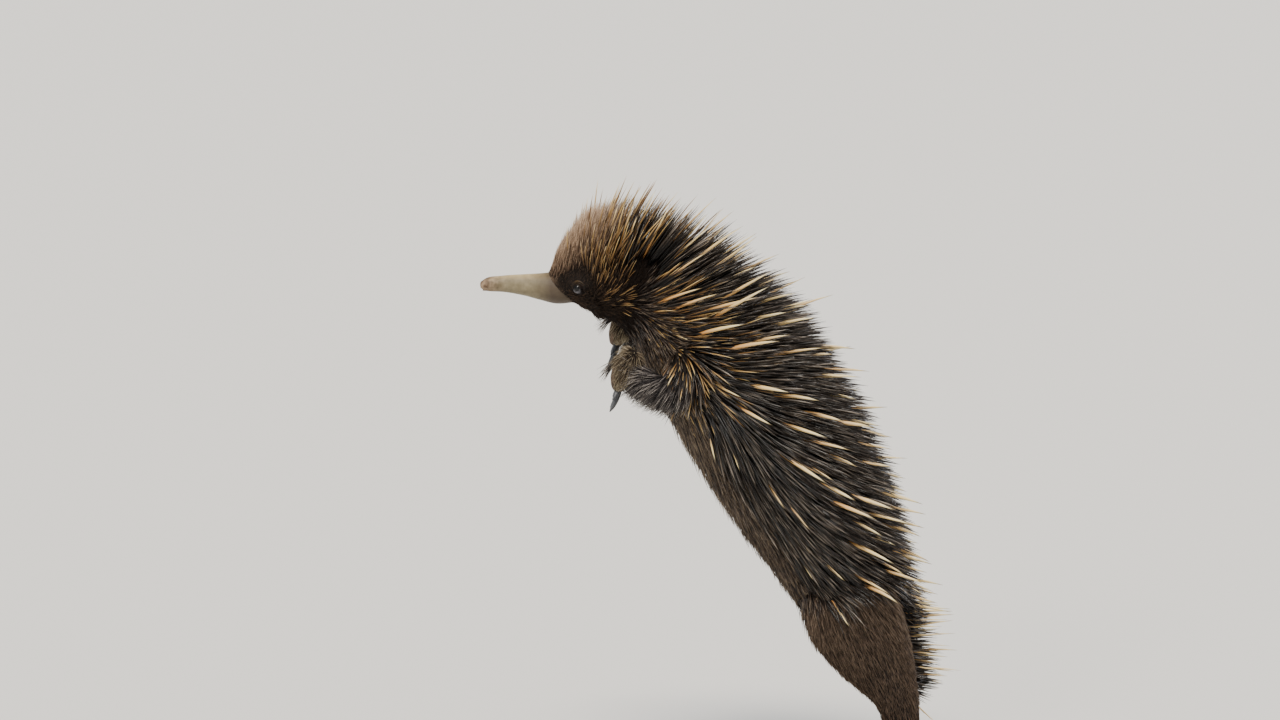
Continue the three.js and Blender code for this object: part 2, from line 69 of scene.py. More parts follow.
def add_node(material, kind, inputs=None, give=0, stops=(), **settings):
    """Adds a node with its settings, a ramp's stops, and inputs that are values, hex colours or other
    nodes' outputs. Gives one of its own outputs, by number or name. A shader becomes the surface."""
    nodes, links = material.node_tree.nodes, material.node_tree.links
    node = nodes.new("ShaderNode" + kind)
    for name, value in settings.items():
        setattr(node, name, value)
    for number, (place, colour) in enumerate(stops):
        elements = node.color_ramp.elements
        element = elements[number] if number < 2 else elements.new(place)
        element.position = place
        element.color = linear(colour)
    for name, value in (inputs or {}).items():
        if isinstance(value, bpy.types.NodeSocket):
            links.new(value, node.inputs[name])
        else:
            node.inputs[name].default_value = linear(value) if isinstance(value, str) else value
    if "BSDF" in node.outputs:
        links.new(node.outputs["BSDF"], nodes["Material Output"].inputs["Surface"])
    return node.outputs[give]


def new_material(name):
    """A material with its output alone, whose other nodes are still to be added."""
    material = bpy.data.materials.new(name)
    material.use_nodes = True
    material.node_tree.nodes.remove(material.node_tree.nodes["Principled BSDF"])
    return material


FLOOR_RADIUS = 300.0
bpy.ops.mesh.primitive_circle_add(vertices=96, radius=FLOOR_RADIUS, fill_type="NGON")
floor = bpy.context.object
floor.name = "floor"
floor_paint = new_material("matt_pale_floor_paint")
add_node(floor_paint, "BsdfPrincipled", {"Base Color": "#d9d6cf", "Roughness": 0.9})
floor.data.materials.append(floor_paint)

# The light is that of a bright overcast day: a pale sky all round, broad light from above on both sides,
# and a little from beside the camera.
SKY_STRENGTH = 0.8
LAMPS = [
    {"from": (-0.34, -1.3, 1.95), "spread": 20, "strength": 3.7, "colour": "#fff6ea"},
    {"from": (1.4, 1.2, 1.7), "spread": 25, "strength": 2.2, "colour": "#f2f6ff"},
    {"from": (-1.1, -2.4, 1.1), "spread": 14, "strength": 0.7, "colour": "#fffaf2"},
]
world = bpy.data.worlds.new("overcast_sky")
bpy.context.scene.world = world
world.use_nodes = True
world.node_tree.nodes["Background"].inputs["Color"].default_value = linear("#dfe3e8")
world.node_tree.nodes["Background"].inputs["Strength"].default_value = SKY_STRENGTH
for lamp in LAMPS:
    towards = -Vector(lamp["from"])
    bpy.ops.object.light_add(type="SUN", rotation=towards.to_track_quat("-Z", "Y").to_euler())
    light = bpy.context.object.data
    light.angle = math.radians(lamp["spread"])
    light.energy = lamp["strength"]
    light.color = linear(lamp["colour"])[:3]

# The skin is one hide over trunk, legs and paws, dark under the coat and bare and brown on the soles. It lies
# inside the coat by the depths given for the back, the belly and the sides. Each limb is drawn out of a disc
# ring by ring, and all are grown together into one closed surface.
LEFT = Vector((0, -1, 0))
FORWARD = Vector((-1, 0, 0))
SIDES = {"left": 1, "right": -1}
# In millimetres: x, z, half depth, half width, and the coat's depth on back, belly and sides
TRUNK = {
    "muzzle": (-178, 364.5, 11, 10.5, 0.6, 0.6, 0.6),
    "brow": (-165, 371.6, 20.5, 18, 3, 1.5, 1.2),
    "crown": (-148, 376, 31, 27, 6, 2.5, 2.5),
    "nape": (-130, 374, 34, 30, 10, 4, 6),
    "neck": (-112, 365, 35, 31, 10, 5, 8),
    "shoulder": (-92, 348, 39, 40, 9, 6, 8),
    "chest": (-67, 318, 47, 53, 8, 6, 8),
    "back": (-41, 282, 52, 60, 8, 7, 8),
    "loin": (-15, 240.5, 52, 62, 8, 7, 8),
    "haunch": (7, 200.5, 47.5, 59, 8, 7, 7),
    "croup": (26, 160, 39.5, 52, 7, 6, 6),
    "rump": (44, 124, 29, 40, 6, 4, 5),
    "tail_root": (61, 100, 17, 21, 4, 3, 4),
    "tail_tip": (79, 72, 7, 8, 2, 2, 2),
}
# The limbs of the left side: x, y, z, half depth and half width, out to the fur's tips
FORELEG = [
    (-74, -32, 322, 20, 18),
    (-82, -48, 305, 19, 17),
    (-92, -55, 296, 17, 16),
    (-106, -53, 299, 14.5, 14),
    (-120, -48, 308, 12, 13),
]
FOREPAW = [
    (-119, -48, 319, 7.5, 10),
    (-124, -47, 312, 9.5, 14.5),
    (-128, -46, 303, 8.5, 15.5),
    (-130, -45, 297, 6, 13.5),
]
HINDLEG = [
    (30, -26, 148, 30, 25),
    (42, -34, 126, 36, 29),
    (57, -42, 100, 31, 26.5),
    (70, -47, 76, 21.5, 21.5),
    (76, -48, 58, 16.5, 17.5),
    (78, -48, 42, 13.5, 14.5),
    (78, -48, 26, 12.5, 13),
]
HINDFOOT = [
    (65, -34, 23, 9, 12),
    (76, -47, 24.5, 12, 16),
    (87, -61, 22.5, 10, 18),
    (93, -69, 20, 6.5, 15.5),
]
FORELEG_COAT = 6.5
HINDLEG_COAT = 3.5
PAW_COAT = 0.8
SOLE = 14.35  # level of the hind feet's soles
RIGHT_REACH = (-2, 0, 24)  # how much further the right forepaw reaches
FORE_TOES = {"bearings": (-42, -20, 0, 20, 42), "reach": 8, "length": 8, "size": 4}
HIND_TOES = {"bearings": (-52, -26, -2, 22, 46), "reach": 13, "length": 9, "size": 4.4}
TOE_TIP = (0.72, 0.74)  # half depth and half width at a toe's tip, as shares of those at its knuckle
FORE_DOWN = Vector((-0.12, 0, -0.99)).normalized()
VOXEL = 1.5


def drawn_through(stations, shares):
    """Rows on the smooth curve through the stations, at shares 0 to 1 of the way along it."""
    rows = np.array(stations, float)
    rows = np.vstack([2 * rows[0] - rows[1], rows, 2 * rows[-1] - rows[-2]])
    place = np.clip(shares, 0, 1) * (len(rows) - 3)
    low = np.minimum(place.astype(int), len(rows) - 4)
    u = (place - low)[:, None]
    a, b, c, d = (rows[low + k] for k in range(4))
    return b + 0.5 * u * (c - a + u * (2 * a - 5 * b + 4 * c - d + u * (3 * (b - c) + d - a)))


def unit(vectors):
    return vectors / np.maximum(np.linalg.norm(vectors, axis=-1, keepdims=True), 1e-9)


def sections(stations, steps, across=LEFT):
    """Middle, onward, outward and sideways directions and half sizes of a drawn-out shape, at even steps."""
    rows = drawn_through(stations, np.linspace(0, 1, steps))
    onward = unit(np.gradient(rows[:, :3], axis=0))
    sideways = unit(np.array(across) - (onward @ np.array(across))[:, None] * onward)
    return rows[:, :3], onward, np.cross(sideways, onward), sideways, rows[:, 3:5]


ROUNDING = (0.96, 0.8, 0.45)  # shares of an end's bulge at which rings round it off


def drawn_out(name, stations, rings, sides, bulges=(0.6, 0.6), across=LEFT):
    """A closed shape: a disc drawn out ring by ring along stations in millimetres, with rounded ends."""
    rows = list(zip(*sections(stations, rings, across)))
    start = [(-bulges[0] * k, math.sqrt(1 - k * k), rows[0]) for k in ROUNDING]
    middle = [(0, 1, row) for row in rows]
    end = [(bulges[1] * k, math.sqrt(1 - k * k), rows[-1]) for k in reversed(ROUNDING)]
    bpy.ops.mesh.primitive_circle_add(vertices=sides, radius=1, fill_type="NGON")
    piece = bpy.context.object
    piece.name = name
    bpy.ops.object.mode_set(mode="EDIT")
    last = Matrix.Identity(4)
    for number, (ahead, share, row) in enumerate(start + middle + end):
        middle_point, onward, outward, sideways, size = row
        if number:
            bpy.ops.mesh.extrude_region_move()
        place = Matrix.Identity(4)
        place.col[0][:3] = outward * size[0] * share * MM
        place.col[1][:3] = sideways * size[1] * share * MM
        place.col[2][:3] = onward * MM
        place.col[3][:3] = (middle_point + onward * ahead * size[0]) * MM
        mesh = bmesh.from_edit_mesh(piece.data)
        chosen = [v for v in mesh.verts if v.select]
        bmesh.ops.transform(mesh, matrix=place @ last.inverted(), verts=chosen)
        bmesh.update_edit_mesh(piece.data)
        last = place
    bpy.ops.mesh.select_all(action="SELECT")
    bpy.ops.mesh.normals_make_consistent(inside=False)
    bpy.ops.object.mode_set(mode="OBJECT")
    return piece


def joined(name, pieces):
    """One object made of several."""
    bpy.ops.object.select_all(action="DESELECT")
    for piece in pieces:
        piece.select_set(True)
    bpy.context.view_layer.objects.active = pieces[0]
    bpy.ops.object.join()
    whole = bpy.context.object
    whole.name = name
    return whole


def modified(piece, kind, **settings):
    """Adds a modifier to a piece and applies it."""
    bpy.ops.object.select_all(action="DESELECT")
    piece.select_set(True)
    bpy.context.view_layer.objects.active = piece
    modifier = piece.modifiers.new(kind.lower(), kind)
    for name, value in settings.items():
        setattr(modifier, name, value)
    bpy.ops.object.modifier_apply(modifier=modifier.name)


def inset(stations, coat):
    return [(x, y, z, depth - coat, width - coat) for x, y, z, depth, width in stations]


def on_side(stations, side, reach=(0, 0, 0)):
    """Stations of the left side moved to either side, the last of them by the whole of a reach."""
    last = len(stations) - 1
    return [
        (x + reach[0] * i / last, side * y, z + reach[2] * i / last, depth, width)
        for i, (x, y, z, depth, width) in enumerate(stations)
    ]


def moved(stations, by):
    return [(x + by[0], y + by[1], z + by[2], *sizes) for x, y, z, *sizes in stations]


trunk_stations = []
outline = [(x, 0, z, depth, width) for x, z, depth, width, *_ in TRUNK.values()]
outwards = sections(outline, len(TRUNK))[2]
for (x, z, depth, width, back, belly, sides), outward in zip(TRUNK.values(), outwards):
    shift = (belly - back) / 2
    depth -= (back + belly) / 2
    trunk_stations.append((x + shift * outward[0], 0, z + shift * outward[2], depth, width - sides))
parts = [drawn_out("skin", trunk_stations, rings=70, sides=48, bulges=(0.3, 0.8))]
legs = {}
paws = {}
toe_roots = {}
for word, side in SIDES.items():
    reach = RIGHT_REACH if word == "right" else (0, 0, 0)
    legs["fore_" + word] = inset(on_side(FORELEG, side, reach), FORELEG_COAT)
    paws["fore_" + word] = inset(moved(on_side(FOREPAW, side), reach), PAW_COAT)
    legs["hind_" + word] = inset(on_side(HINDLEG, side), HINDLEG_COAT)
    paws["hind_" + word] = inset(on_side(HINDFOOT, side), PAW_COAT)
    palm = Vector(paws["fore_" + word][2][:3])
    toe_roots["fore_" + word] = (palm, FORE_DOWN, FORWARD, FORE_TOES, FORWARD)
    heel, instep = Vector(paws["hind_" + word][0][:3]), Vector(paws["hind_" + word][2][:3])
    outward = (instep - heel).to_2d().to_3d().normalized()
    palm = Vector((instep.x, instep.y, SOLE + HIND_TOES["size"]))
    toe_roots["hind_" + word] = (palm, outward, Vector((0, 0, side)), HIND_TOES, Vector((0, 0, -1)))
claw_roots = {name: [] for name in toe_roots}
for name in legs:
    parts.append(drawn_out("leg", legs[name], rings=24, sides=32))
    parts.append(drawn_out("paw", paws[name], rings=14, sides=28))
    palm, out, turn, toes, curl = toe_roots[name]
    for bearing in toes["bearings"]:
        heading = Matrix.Rotation(math.radians(bearing), 3, turn) @ out
        tip = palm + heading * toes["reach"]
        knuckle = tip - heading * toes["length"]
        size = toes["size"] - PAW_COAT / 2
        ends = [(*knuckle, size, size), (*tip, TOE_TIP[0] * size, TOE_TIP[1] * size)]
        parts.append(drawn_out("toe", ends, rings=4, sides=14, across=turn.cross(heading)))
        claw_roots[name].append((tip, heading, curl))
skin = joined("skin", parts)
modified(skin, "REMESH", mode="VOXEL", voxel_size=VOXEL * MM)
modified(skin, "SMOOTH", factor=0.5, iterations=4)
for vertex in skin.data.vertices:
    vertex.co.z = max(vertex.co.z, SOLE * MM)

hide = new_material("dark_hide_and_painted_shade_bare_on_the_paws")
# Under the coat the hide is nearly black, partly its own colour and partly painted shade, so that the gaps
# between quills read as depth. Palms, soles and toes are a dull brown, mottled every few millimetres and
# finely creased about every millimetre.
position = add_node(hide, "TexCoord", give="Object")
bare = add_node(hide, "Attribute", give="Fac", attribute_name="bare")
mottle = add_node(hide, "TexNoise", {"Vector": position, "Scale": 220, "Detail": 4})
bare_tone = add_node(hide, "ValToRGB", {"Fac": mottle}, stops=[(0.3, "#3a2e25"), (0.7, "#655343")])
# The hide's near-black is partly its own colour and partly painted shade in the gaps between quills.
hide_and_shade_tone = add_node(hide, "ValToRGB", {"Fac": mottle}, stops=[(0.3, "#0d0a08"), (0.7, "#1d1612")])
skin_tone = add_node(hide, "Mix", {0: bare, 6: hide_and_shade_tone, 7: bare_tone}, give=2, data_type="RGBA")
creases = add_node(hide, "TexVoronoi", {"Vector": position, "Scale": 900}, feature="DISTANCE_TO_EDGE")
relief = add_node(hide, "Bump", {"Height": creases, "Strength": 0.6, "Distance": 0.0006})
surface = {"Base Color": skin_tone, "Roughness": 0.85, "Specular IOR Level": 0.2, "Normal": relief}
add_node(hide, "BsdfPrincipled", surface)
skin.data.materials.append(hide)
bpy.ops.object.shade_smooth()
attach(skin, "root")
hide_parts("head", "neck", "torso", "tail")
for word in SIDES:
    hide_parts("foreleg_" + word, "forepaw_" + word, "hindleg_" + word, "hindfoot_" + word)

# The beak is a long tube of bare, leathery skin over bone. It swells a little at the nostrils, and its small
# mouth opens under the tip.
BEAK = [
    (-229.5, 0, 366.3, 3.6, 4),
    (-224, 0, 367.5, 5.1, 5.2),
    (-212, 0, 368, 6.3, 6),
    (-198, 0, 367.2, 8, 7.6),
    (-186, 0, 366, 10, 9.6),
    (-175, 0, 365.2, 11.8, 11.6),
    (-164, 0, 365.6, 11.4, 11.4),
]
BEAK_LINE = (0, 0, 367)  # y and z of the beak's middle line near its tip
NOSTRIL = {"at": (-224.8, 2.3, 371.4), "radius": 1.25, "shape": (0.75, 1, 1), "depth": 1.5}
MOUTH = {"z": 363.9, "to": -222, "half_height": 0.55, "depth": 1.2, "inward": (-218, 0, 366)}
BEAK_SWELL = {"x": -224.5, "above": 366, "reach": 5, "height": 0.5}

beak = drawn_out("beak_skin", BEAK, rings=150, sides=64, bulges=(0.5, 0.3))
points = np.empty(len(beak.data.vertices) * 3)
beak.data.vertices.foreach_get("co", points)
points = points.reshape(-1, 3) / MM
outward = unit(points * (0, 1, 1) - BEAK_LINE)
swell = np.exp(-(((points[:, 0] - BEAK_SWELL["x"]) / BEAK_SWELL["reach"]) ** 2))
points += outward * (BEAK_SWELL["height"] * swell * (points[:, 2] > BEAK_SWELL["above"]))[:, None]
for side in SIDES.values():
    nostril = np.array(NOSTRIL["at"]) * (1, -side, 1)
    off = np.linalg.norm((points - nostril) * NOSTRIL["shape"], axis=1)
    near = np.exp(-((off / NOSTRIL["radius"]) ** 4))
    points -= outward * (NOSTRIL["depth"] * near)[:, None]
lip = np.exp(-(((points[:, 2] - MOUTH["z"]) / MOUTH["half_height"]) ** 2)) * (points[:, 0] < MOUTH["to"])
points -= unit(points - MOUTH["inward"]) * (MOUTH["depth"] * lip)[:, None]
beak.data.vertices.foreach_set("co", (points * MM).ravel())

leather = new_material("bare_creased_beak_skin")
# The skin is a dull olive grey with a waxy gloss and a painted beige highlight along the top, where it faces
# up, spotted pink and brown at the tip and darker towards the face. Fine creases run every seven tenths of a
# millimetre.
position = add_node(leather, "TexCoord", give="Object")
along = add_node(leather, "SeparateXYZ", {"Vector": position}, give="X")
normal = add_node(leather, "NewGeometry", give="Normal")
facing = add_node(leather, "SeparateXYZ", {"Vector": normal}, give="Z")
mottle = add_node(leather, "TexNoise", {"Vector": position, "Scale": 260, "Detail": 6})
side_tone = add_node(leather, "ValToRGB", {"Fac": mottle}, stops=[(0.25, "#6a6048"), (0.75, "#857a60")])
# Painted highlight: where the skin faces up it is coloured beige.
top_highlight_tone = add_node(leather, "ValToRGB", {"Fac": mottle}, stops=[(0.25, "#97835c"), (0.75, "#b9a67c")])
upward = add_node(leather, "MapRange", {"Value": facing, "From Min": 0.45, "From Max": 0.95})
beak_tone = add_node(leather, "Mix", {0: upward, 6: side_tone, 7: top_highlight_tone}, give=2, data_type="RGBA")
tip_stops = [(0.35, "#54402f"), (0.55, "#86705a"), (0.75, "#a08a6c")]
tip_tone = add_node(leather, "ValToRGB", {"Fac": mottle}, stops=tip_stops)
tipward = add_node(leather, "MapRange", {"Value": along, "From Min": -0.212, "From Max": -0.228})
beak_tone = add_node(leather, "Mix", {0: tipward, 6: beak_tone, 7: tip_tone}, give=2, data_type="RGBA")
from_face = {"Value": along, "From Min": -0.195, "From Max": -0.179, "To Max": 0.85}
faceward = add_node(leather, "MapRange", from_face)
beak_tone = add_node(leather, "Mix", {0: faceward, 6: beak_tone, 7: "#3a2d24"}, give=2, data_type="RGBA")
stretched = add_node(leather, "Mapping", {"Vector": position, "Scale": (0.45, 1, 1)})
creases = add_node(leather, "TexVoronoi", {"Vector": stretched, "Scale": 1500}, feature="DISTANCE_TO_EDGE")
relief = add_node(leather, "Bump", {"Height": creases, "Strength": 0.4, "Distance": 0.0004})
surface = {"Base Color": beak_tone, "Roughness": 0.52, "Specular IOR Level": 0.3, "Normal": relief}
add_node(leather, "BsdfPrincipled", surface)
beak.data.materials.append(leather)
bpy.ops.object.shade_smooth()
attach(beak, "root")
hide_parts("beak")

# Each eye is a wet globe of eight millimetres, all but black, with a clear bulging front. It looks outward
# and a little towards the beak.
EYE = (-158.8, 18.4, 366)
EYE_RADIUS = 4
EYE_TURN = math.radians(28)  # towards the beak
CORNEA = {"radius": 2.9, "bulge": 0.35}


def eye_frame(side):
    """Middle of an eye and the directions in which it looks and in which up and tailward lie round it."""
    middle = Vector((EYE[0], -side * EYE[1], EYE[2]))
    gaze = Vector((-math.sin(EYE_TURN), -side * math.cos(EYE_TURN), 0))
    return middle, gaze, Vector((0, 0, 1)), Vector((math.cos(EYE_TURN), -side * math.sin(EYE_TURN), 0))


wet_eye = new_material("wet_black_eye")
# The iris is so dark a brown that it hardly shows, and the wet front mirrors the sky.
add_node(wet_eye, "BsdfPrincipled", {"Base Color": "#030304", "Roughness": 0.05, "IOR": 1.36})
for word, side in SIDES.items():
    middle, gaze, *_ = eye_frame(side)
    bpy.ops.mesh.primitive_uv_sphere_add(segments=40, ring_count=28, radius=EYE_RADIUS * MM)
    eye = bpy.context.object
    eye.name = "eyeball_" + word
    for vertex in eye.data.vertices:
        off_axis = (vertex.co - vertex.co.dot(gaze) * gaze).length / MM
        if vertex.co.dot(gaze) > 0 and off_axis < CORNEA["radius"]:
            vertex.co += gaze * CORNEA["bulge"] * (1 - (off_axis / CORNEA["radius"]) ** 2) * MM
        vertex.co += middle * MM
    eye.data.materials.append(wet_eye)
    bpy.ops.object.shade_smooth()
    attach(eye, "root")
    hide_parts("eye_" + word)

# The lids are folds of thin bare skin round each eye: a grey, moist rim below it and a soft fold above with a
# painted brown highlight on its crest, laid over the globe and running out into the face under its fur.
LID_SEGMENTS = 56
LID_RINGS = 20
LID_OPENING = (2.55, 2.4)  # half width and half height
LID_REACH = 7.2
LID_CLEARANCE = 0.25  # over the globe
LID_THICKNESS = 0.5
LID_JOIN = {"at": 4.1, "steepness": 2.2, "over_face": 0.15}  # where the lids pass from the globe to the face
LID_EDGE = {"from": 0.6, "sunk": 1.5}  # share of the reach from which the lids dip under the fur, and how far
RIM = {"width": 0.3, "wider_below": 1.4}
CREST_HIGHLIGHT_WIDTH = 1.3
# The folds: bearings of their middles and how far they run round, in degrees, then millimetres
FOLDS = [
    {"centre": 95, "spread": 75, "out": 3.1, "width": 0.7, "height": 0.7},
    {"centre": 95, "spread": 80, "out": 0.7, "width": 0.6, "height": 0.35},
    {"centre": 268, "spread": 85, "out": 1.1, "width": 0.9, "height": 0.6},
]
RAY_START = 90  # mm off the surface that a ray is sent to meet
skin_surface = BVHTree.FromObject(skin, bpy.context.evaluated_depsgraph_get())


def on_fold(fold, bearing, out, width):
    """1 on the middle of a fold's crest, falling to 0 round it."""
    turn = abs((bearing - fold["centre"] + 180) % 360 - 180) / fold["spread"]
    return max(0, 1 - turn * turn) * math.exp(-(((out - fold["out"]) / width) ** 2))


lid_skin = new_material("thin_bare_eyelid_skin")
# The lower rim is bluish grey, the upper fold's crest carries a painted brown highlight, and the rest is as
# dark as the face.
position = add_node(lid_skin, "TexCoord", give="Object")
mottle = add_node(lid_skin, "TexNoise", {"Vector": position, "Scale": 900, "Detail": 4})
lid_tone = add_node(lid_skin, "ValToRGB", {"Fac": mottle}, stops=[(0.3, "#0c0705"), (0.7, "#1b120d")])
# The crest's lighter brown is a painted highlight on the upper fold.
for attribute, darker, lighter in (("crest", "#1c130c", "#4e3d28"), ("rim", "#2f2e32", "#666469")):
    share = add_node(lid_skin, "Attribute", give="Fac", attribute_name=attribute)
    tone = add_node(lid_skin, "ValToRGB", {"Fac": mottle}, stops=[(0.3, darker), (0.7, lighter)])
    lid_tone = add_node(lid_skin, "Mix", {0: share, 6: lid_tone, 7: tone}, give=2, data_type="RGBA")
relief = add_node(lid_skin, "Bump", {"Height": mottle, "Strength": 0.5, "Distance": 0.0004})
surface = {"Base Color": lid_tone, "Roughness": 0.5, "Specular IOR Level": 0.2, "Normal": relief}
add_node(lid_skin, "BsdfPrincipled", surface)
for word, side in SIDES.items():
    middle, gaze, up, tailward = eye_frame(side)
    bpy.ops.mesh.primitive_circle_add(vertices=LID_SEGMENTS, radius=LID_OPENING[0] * MM)
    lids = bpy.context.object
    lids.name = "eyelids_" + word
    bpy.ops.object.mode_set(mode="EDIT")
    for _ in range(LID_RINGS):
        bpy.ops.mesh.extrude_region_move()
        mesh = bmesh.from_edit_mesh(lids.data)
        ring = [v for v in mesh.verts if v.select]
        radius = ring[0].co.length
        wider = (radius + (LID_REACH - LID_OPENING[0]) * MM / LID_RINGS) / radius
        bmesh.ops.scale(mesh, vec=(wider, wider, 1), verts=ring)
        bmesh.update_edit_mesh(lids.data)
    bpy.ops.object.mode_set(mode="OBJECT")
    rims, crest_highlights = [], []
    for vertex in lids.data.vertices:
        out = vertex.co.length / MM - LID_OPENING[0]
        bearing = math.degrees(math.atan2(vertex.co.y, vertex.co.x)) % 360
        across = math.cos(math.radians(bearing)) * (LID_OPENING[0] + out)
        above = math.sin(math.radians(bearing)) * (LID_OPENING[1] + out)
        flat = middle + tailward * across + up * above
        off_axis = math.hypot(across, above)
        over_globe = math.sqrt(max((EYE_RADIUS + LID_CLEARANCE) ** 2 - off_axis**2, 0.3)) + 0.1
        hit = skin_surface.ray_cast((flat + gaze * RAY_START) * MM, -gaze)
        on_face = (hit[0] / MM - flat).dot(gaze) + LID_JOIN["over_face"]
        blend = 1 / (1 + math.exp(-(off_axis - LID_JOIN["at"]) * LID_JOIN["steepness"]))
        height = max(over_globe * (1 - blend) + on_face * blend, on_face)
        height += sum(fold["height"] * on_fold(fold, bearing, out, fold["width"]) for fold in FOLDS)
        past_edge = out / (LID_REACH - LID_OPENING[0]) - LID_EDGE["from"]
        sunk = LID_EDGE["sunk"] * max(0, past_edge / (1 - LID_EDGE["from"]))
        vertex.co = (flat + gaze * (height - sunk)) * MM
        below = max(0, -math.sin(math.radians(bearing)))
        rim_width = RIM["width"] + RIM["wider_below"] * below
        rims.append(math.exp(-((out / rim_width) ** 4)) * below**0.5)
        # Where the painted highlight lies: along the crest of the upper fold.
        crest_highlights.append(on_fold(FOLDS[0], bearing, out, CREST_HIGHLIGHT_WIDTH))
    lids.data.attributes.new("rim", "FLOAT", "POINT").data.foreach_set("value", rims)
    lids.data.attributes.new("crest", "FLOAT", "POINT").data.foreach_set("value", crest_highlights)
    modified(lids, "SOLIDIFY", thickness=LID_THICKNESS * MM, offset=-1)
    lids.data.materials.append(lid_skin)
    bpy.ops.object.mode_set(mode="EDIT")
    bpy.ops.mesh.select_all(action="SELECT")
    bpy.ops.mesh.normals_make_consistent(inside=False)
    bpy.ops.object.mode_set(mode="OBJECT")
    bpy.ops.object.shade_smooth()
    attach(lids, "root")

# Each ear is an upright slit behind the cheek with a low rim of bare cartilage, open among the quills.
EAR = (-130, 366)
EAR_RIM = {"height": 7.5, "width": 2.8, "thickness": 1.1, "sunk": 0.9}

ear_skin = new_material("bare_dark_ear_cartilage")
# Dry cartilage skin is matt and nearly black, mottled brown every couple of millimetres.
position = add_node(ear_skin, "TexCoord", give="Object")
mottle = add_node(ear_skin, "TexNoise", {"Vector": position, "Scale": 600, "Detail": 3})
ear_tone = add_node(ear_skin, "ValToRGB", {"Fac": mottle}, stops=[(0.3, "#0d0806"), (0.7, "#2a1e17")])
add_node(ear_skin, "BsdfPrincipled", {"Base Color": ear_tone, "Roughness": 0.6})
for word, side in SIDES.items():
    aim = Vector((0, side, 0))
    hit = skin_surface.ray_cast(Vector((EAR[0], -side * RAY_START, EAR[1])) * MM, aim)
    bpy.ops.mesh.primitive_torus_add(
        major_segments=40,
        minor_segments=14,
        major_radius=1,
        minor_radius=EAR_RIM["thickness"] / EAR_RIM["height"],
        rotation=(math.radians(90), 0, 0),
    )
    ear = bpy.context.object
    ear.name = "ear_rim_" + word
    bpy.ops.object.transform_apply(location=True, rotation=True, scale=True)
    bpy.ops.object.mode_set(mode="EDIT")
    bpy.ops.mesh.select_all(action="SELECT")
    stretch = (EAR_RIM["width"] * MM, EAR_RIM["height"] * MM, EAR_RIM["height"] * MM)
    bpy.ops.transform.resize(value=stretch, center_override=(0, 0, 0))
    bpy.ops.transform.translate(value=hit[0] + aim * EAR_RIM["sunk"] * MM)
    bpy.ops.object.mode_set(mode="OBJECT")
    ear.data.materials.append(ear_skin)
    bpy.ops.object.shade_smooth()
    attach(ear, "root")

# Claws are solid horn, broad and blunt like spades on the forepaws. On the hind feet the second is the long
# grooming claw. Each grows out of the end of its toe.
CLAWS = {
    "fore": {"lengths": (12, 16, 17, 16, 12), "width": 6.2, "thickness": 4.6, "curl": 0.3},
    "hind": {"lengths": (9, 29, 22, 13, 9), "width": 5, "thickness": 4.2, "curl": 0.09},
}
CLAW_STATIONS = 7
CLAW_SUNK = 3  # mm of the claw's root inside its toe
CLAW_END = 0.985  # share of the length at which the tip is rounded off
CLAW_FULLNESS = 0.96

horn = new_material("grey_claw_horn")
# Horn is bluish grey, with faint upright streaks under a millimetre wide and a dull polish from digging.
position = add_node(horn, "TexCoord", give="Object")
drawn = add_node(horn, "Mapping", {"Vector": position, "Scale": (1, 1, 0.15)})
streaks = add_node(horn, "TexNoise", {"Vector": drawn, "Scale": 1400, "Detail": 3})
horn_tone = add_node(horn, "ValToRGB", {"Fac": streaks}, stops=[(0.3, "#232528"), (0.7, "#55575a")])
relief = add_node(horn, "Bump", {"Height": streaks, "Strength": 0.3, "Distance": 0.0003})
add_node(horn, "BsdfPrincipled", {"Base Color": horn_tone, "Roughness": 0.4, "Normal": relief})
for name, roots in claw_roots.items():
    kind = CLAWS[name.split("_")[0]]
    horns = []
    for (root, heading, curl), length in zip(roots, kind["lengths"]):
        stations = []
        for u in np.linspace(0, CLAW_END, CLAW_STATIONS):
            at = root - heading * CLAW_SUNK * (1 - u) ** 2 + heading * length * u
            at += curl * kind["curl"] * length * u * u
            slim = math.sqrt(1 - u * u) * CLAW_FULLNESS
            stations.append((*at, slim * kind["thickness"] / 2, slim * kind["width"] / 2))
        across = heading.cross(curl)
        horns.append(drawn_out("claw", stations, rings=14, sides=16, bulges=(0.4, 0.5), across=across))
    claws = joined(f"claws_{name}", horns)
    claws.data.materials.append(horn)
    bpy.ops.object.shade_smooth()
    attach(claws, "root")

# The coat's lie: each quill, spine and hair grows from the skin and lies the way that the coat runs there. On
# the trunk it fans from upright along the back to sweeping down the flanks and along the belly, and on the
# legs it hangs down to the paws.
SEED = 20731
rng = np.random.default_rng(SEED)
# For the trunk's stations: the angle between the coat's run and the tailward line, in degrees, at these
# angles round from the back line; then the spines' length on the back line in millimetres, and how far round
# from it the quills grow
LIE_ROUNDS = (0, 35, 72, 92, 108, 125, 180)
LIE = {
    "muzzle": (34, 40, 40, 20, 10, 5, 0),
    "brow": (46, 56, 62, 60, 40, 8, 0),
    "crown": (66, 74, 82, 84, 78, 52, 0),
    "nape": (76, 88, 98, 98, 92, 66, 0),
    "neck": (84, 84, 78, 66, 36, -8, -12),
    "shoulder": (80, 78, 76, 62, 34, -5, -10),
    "chest": (72, 72, 72, 62, 30, -16, -10),
    "back": (60, 58, 56, 28, -10, -20, -5),
    "loin": (58, 50, 40, 24, 8, 0, 0),
    "haunch": (54, 50, 42, 32, 18, 5, 0),
    "croup": (50, 48, 42, 34, 28, 8, 0),
    "rump": (55, 50, 42, 38, 30, 10, 0),
    "tail_root": (60, 58, 54, 50, 36, 15, 5),
    "tail_tip": (54, 54, 54, 54, 45, 35, 30),
}
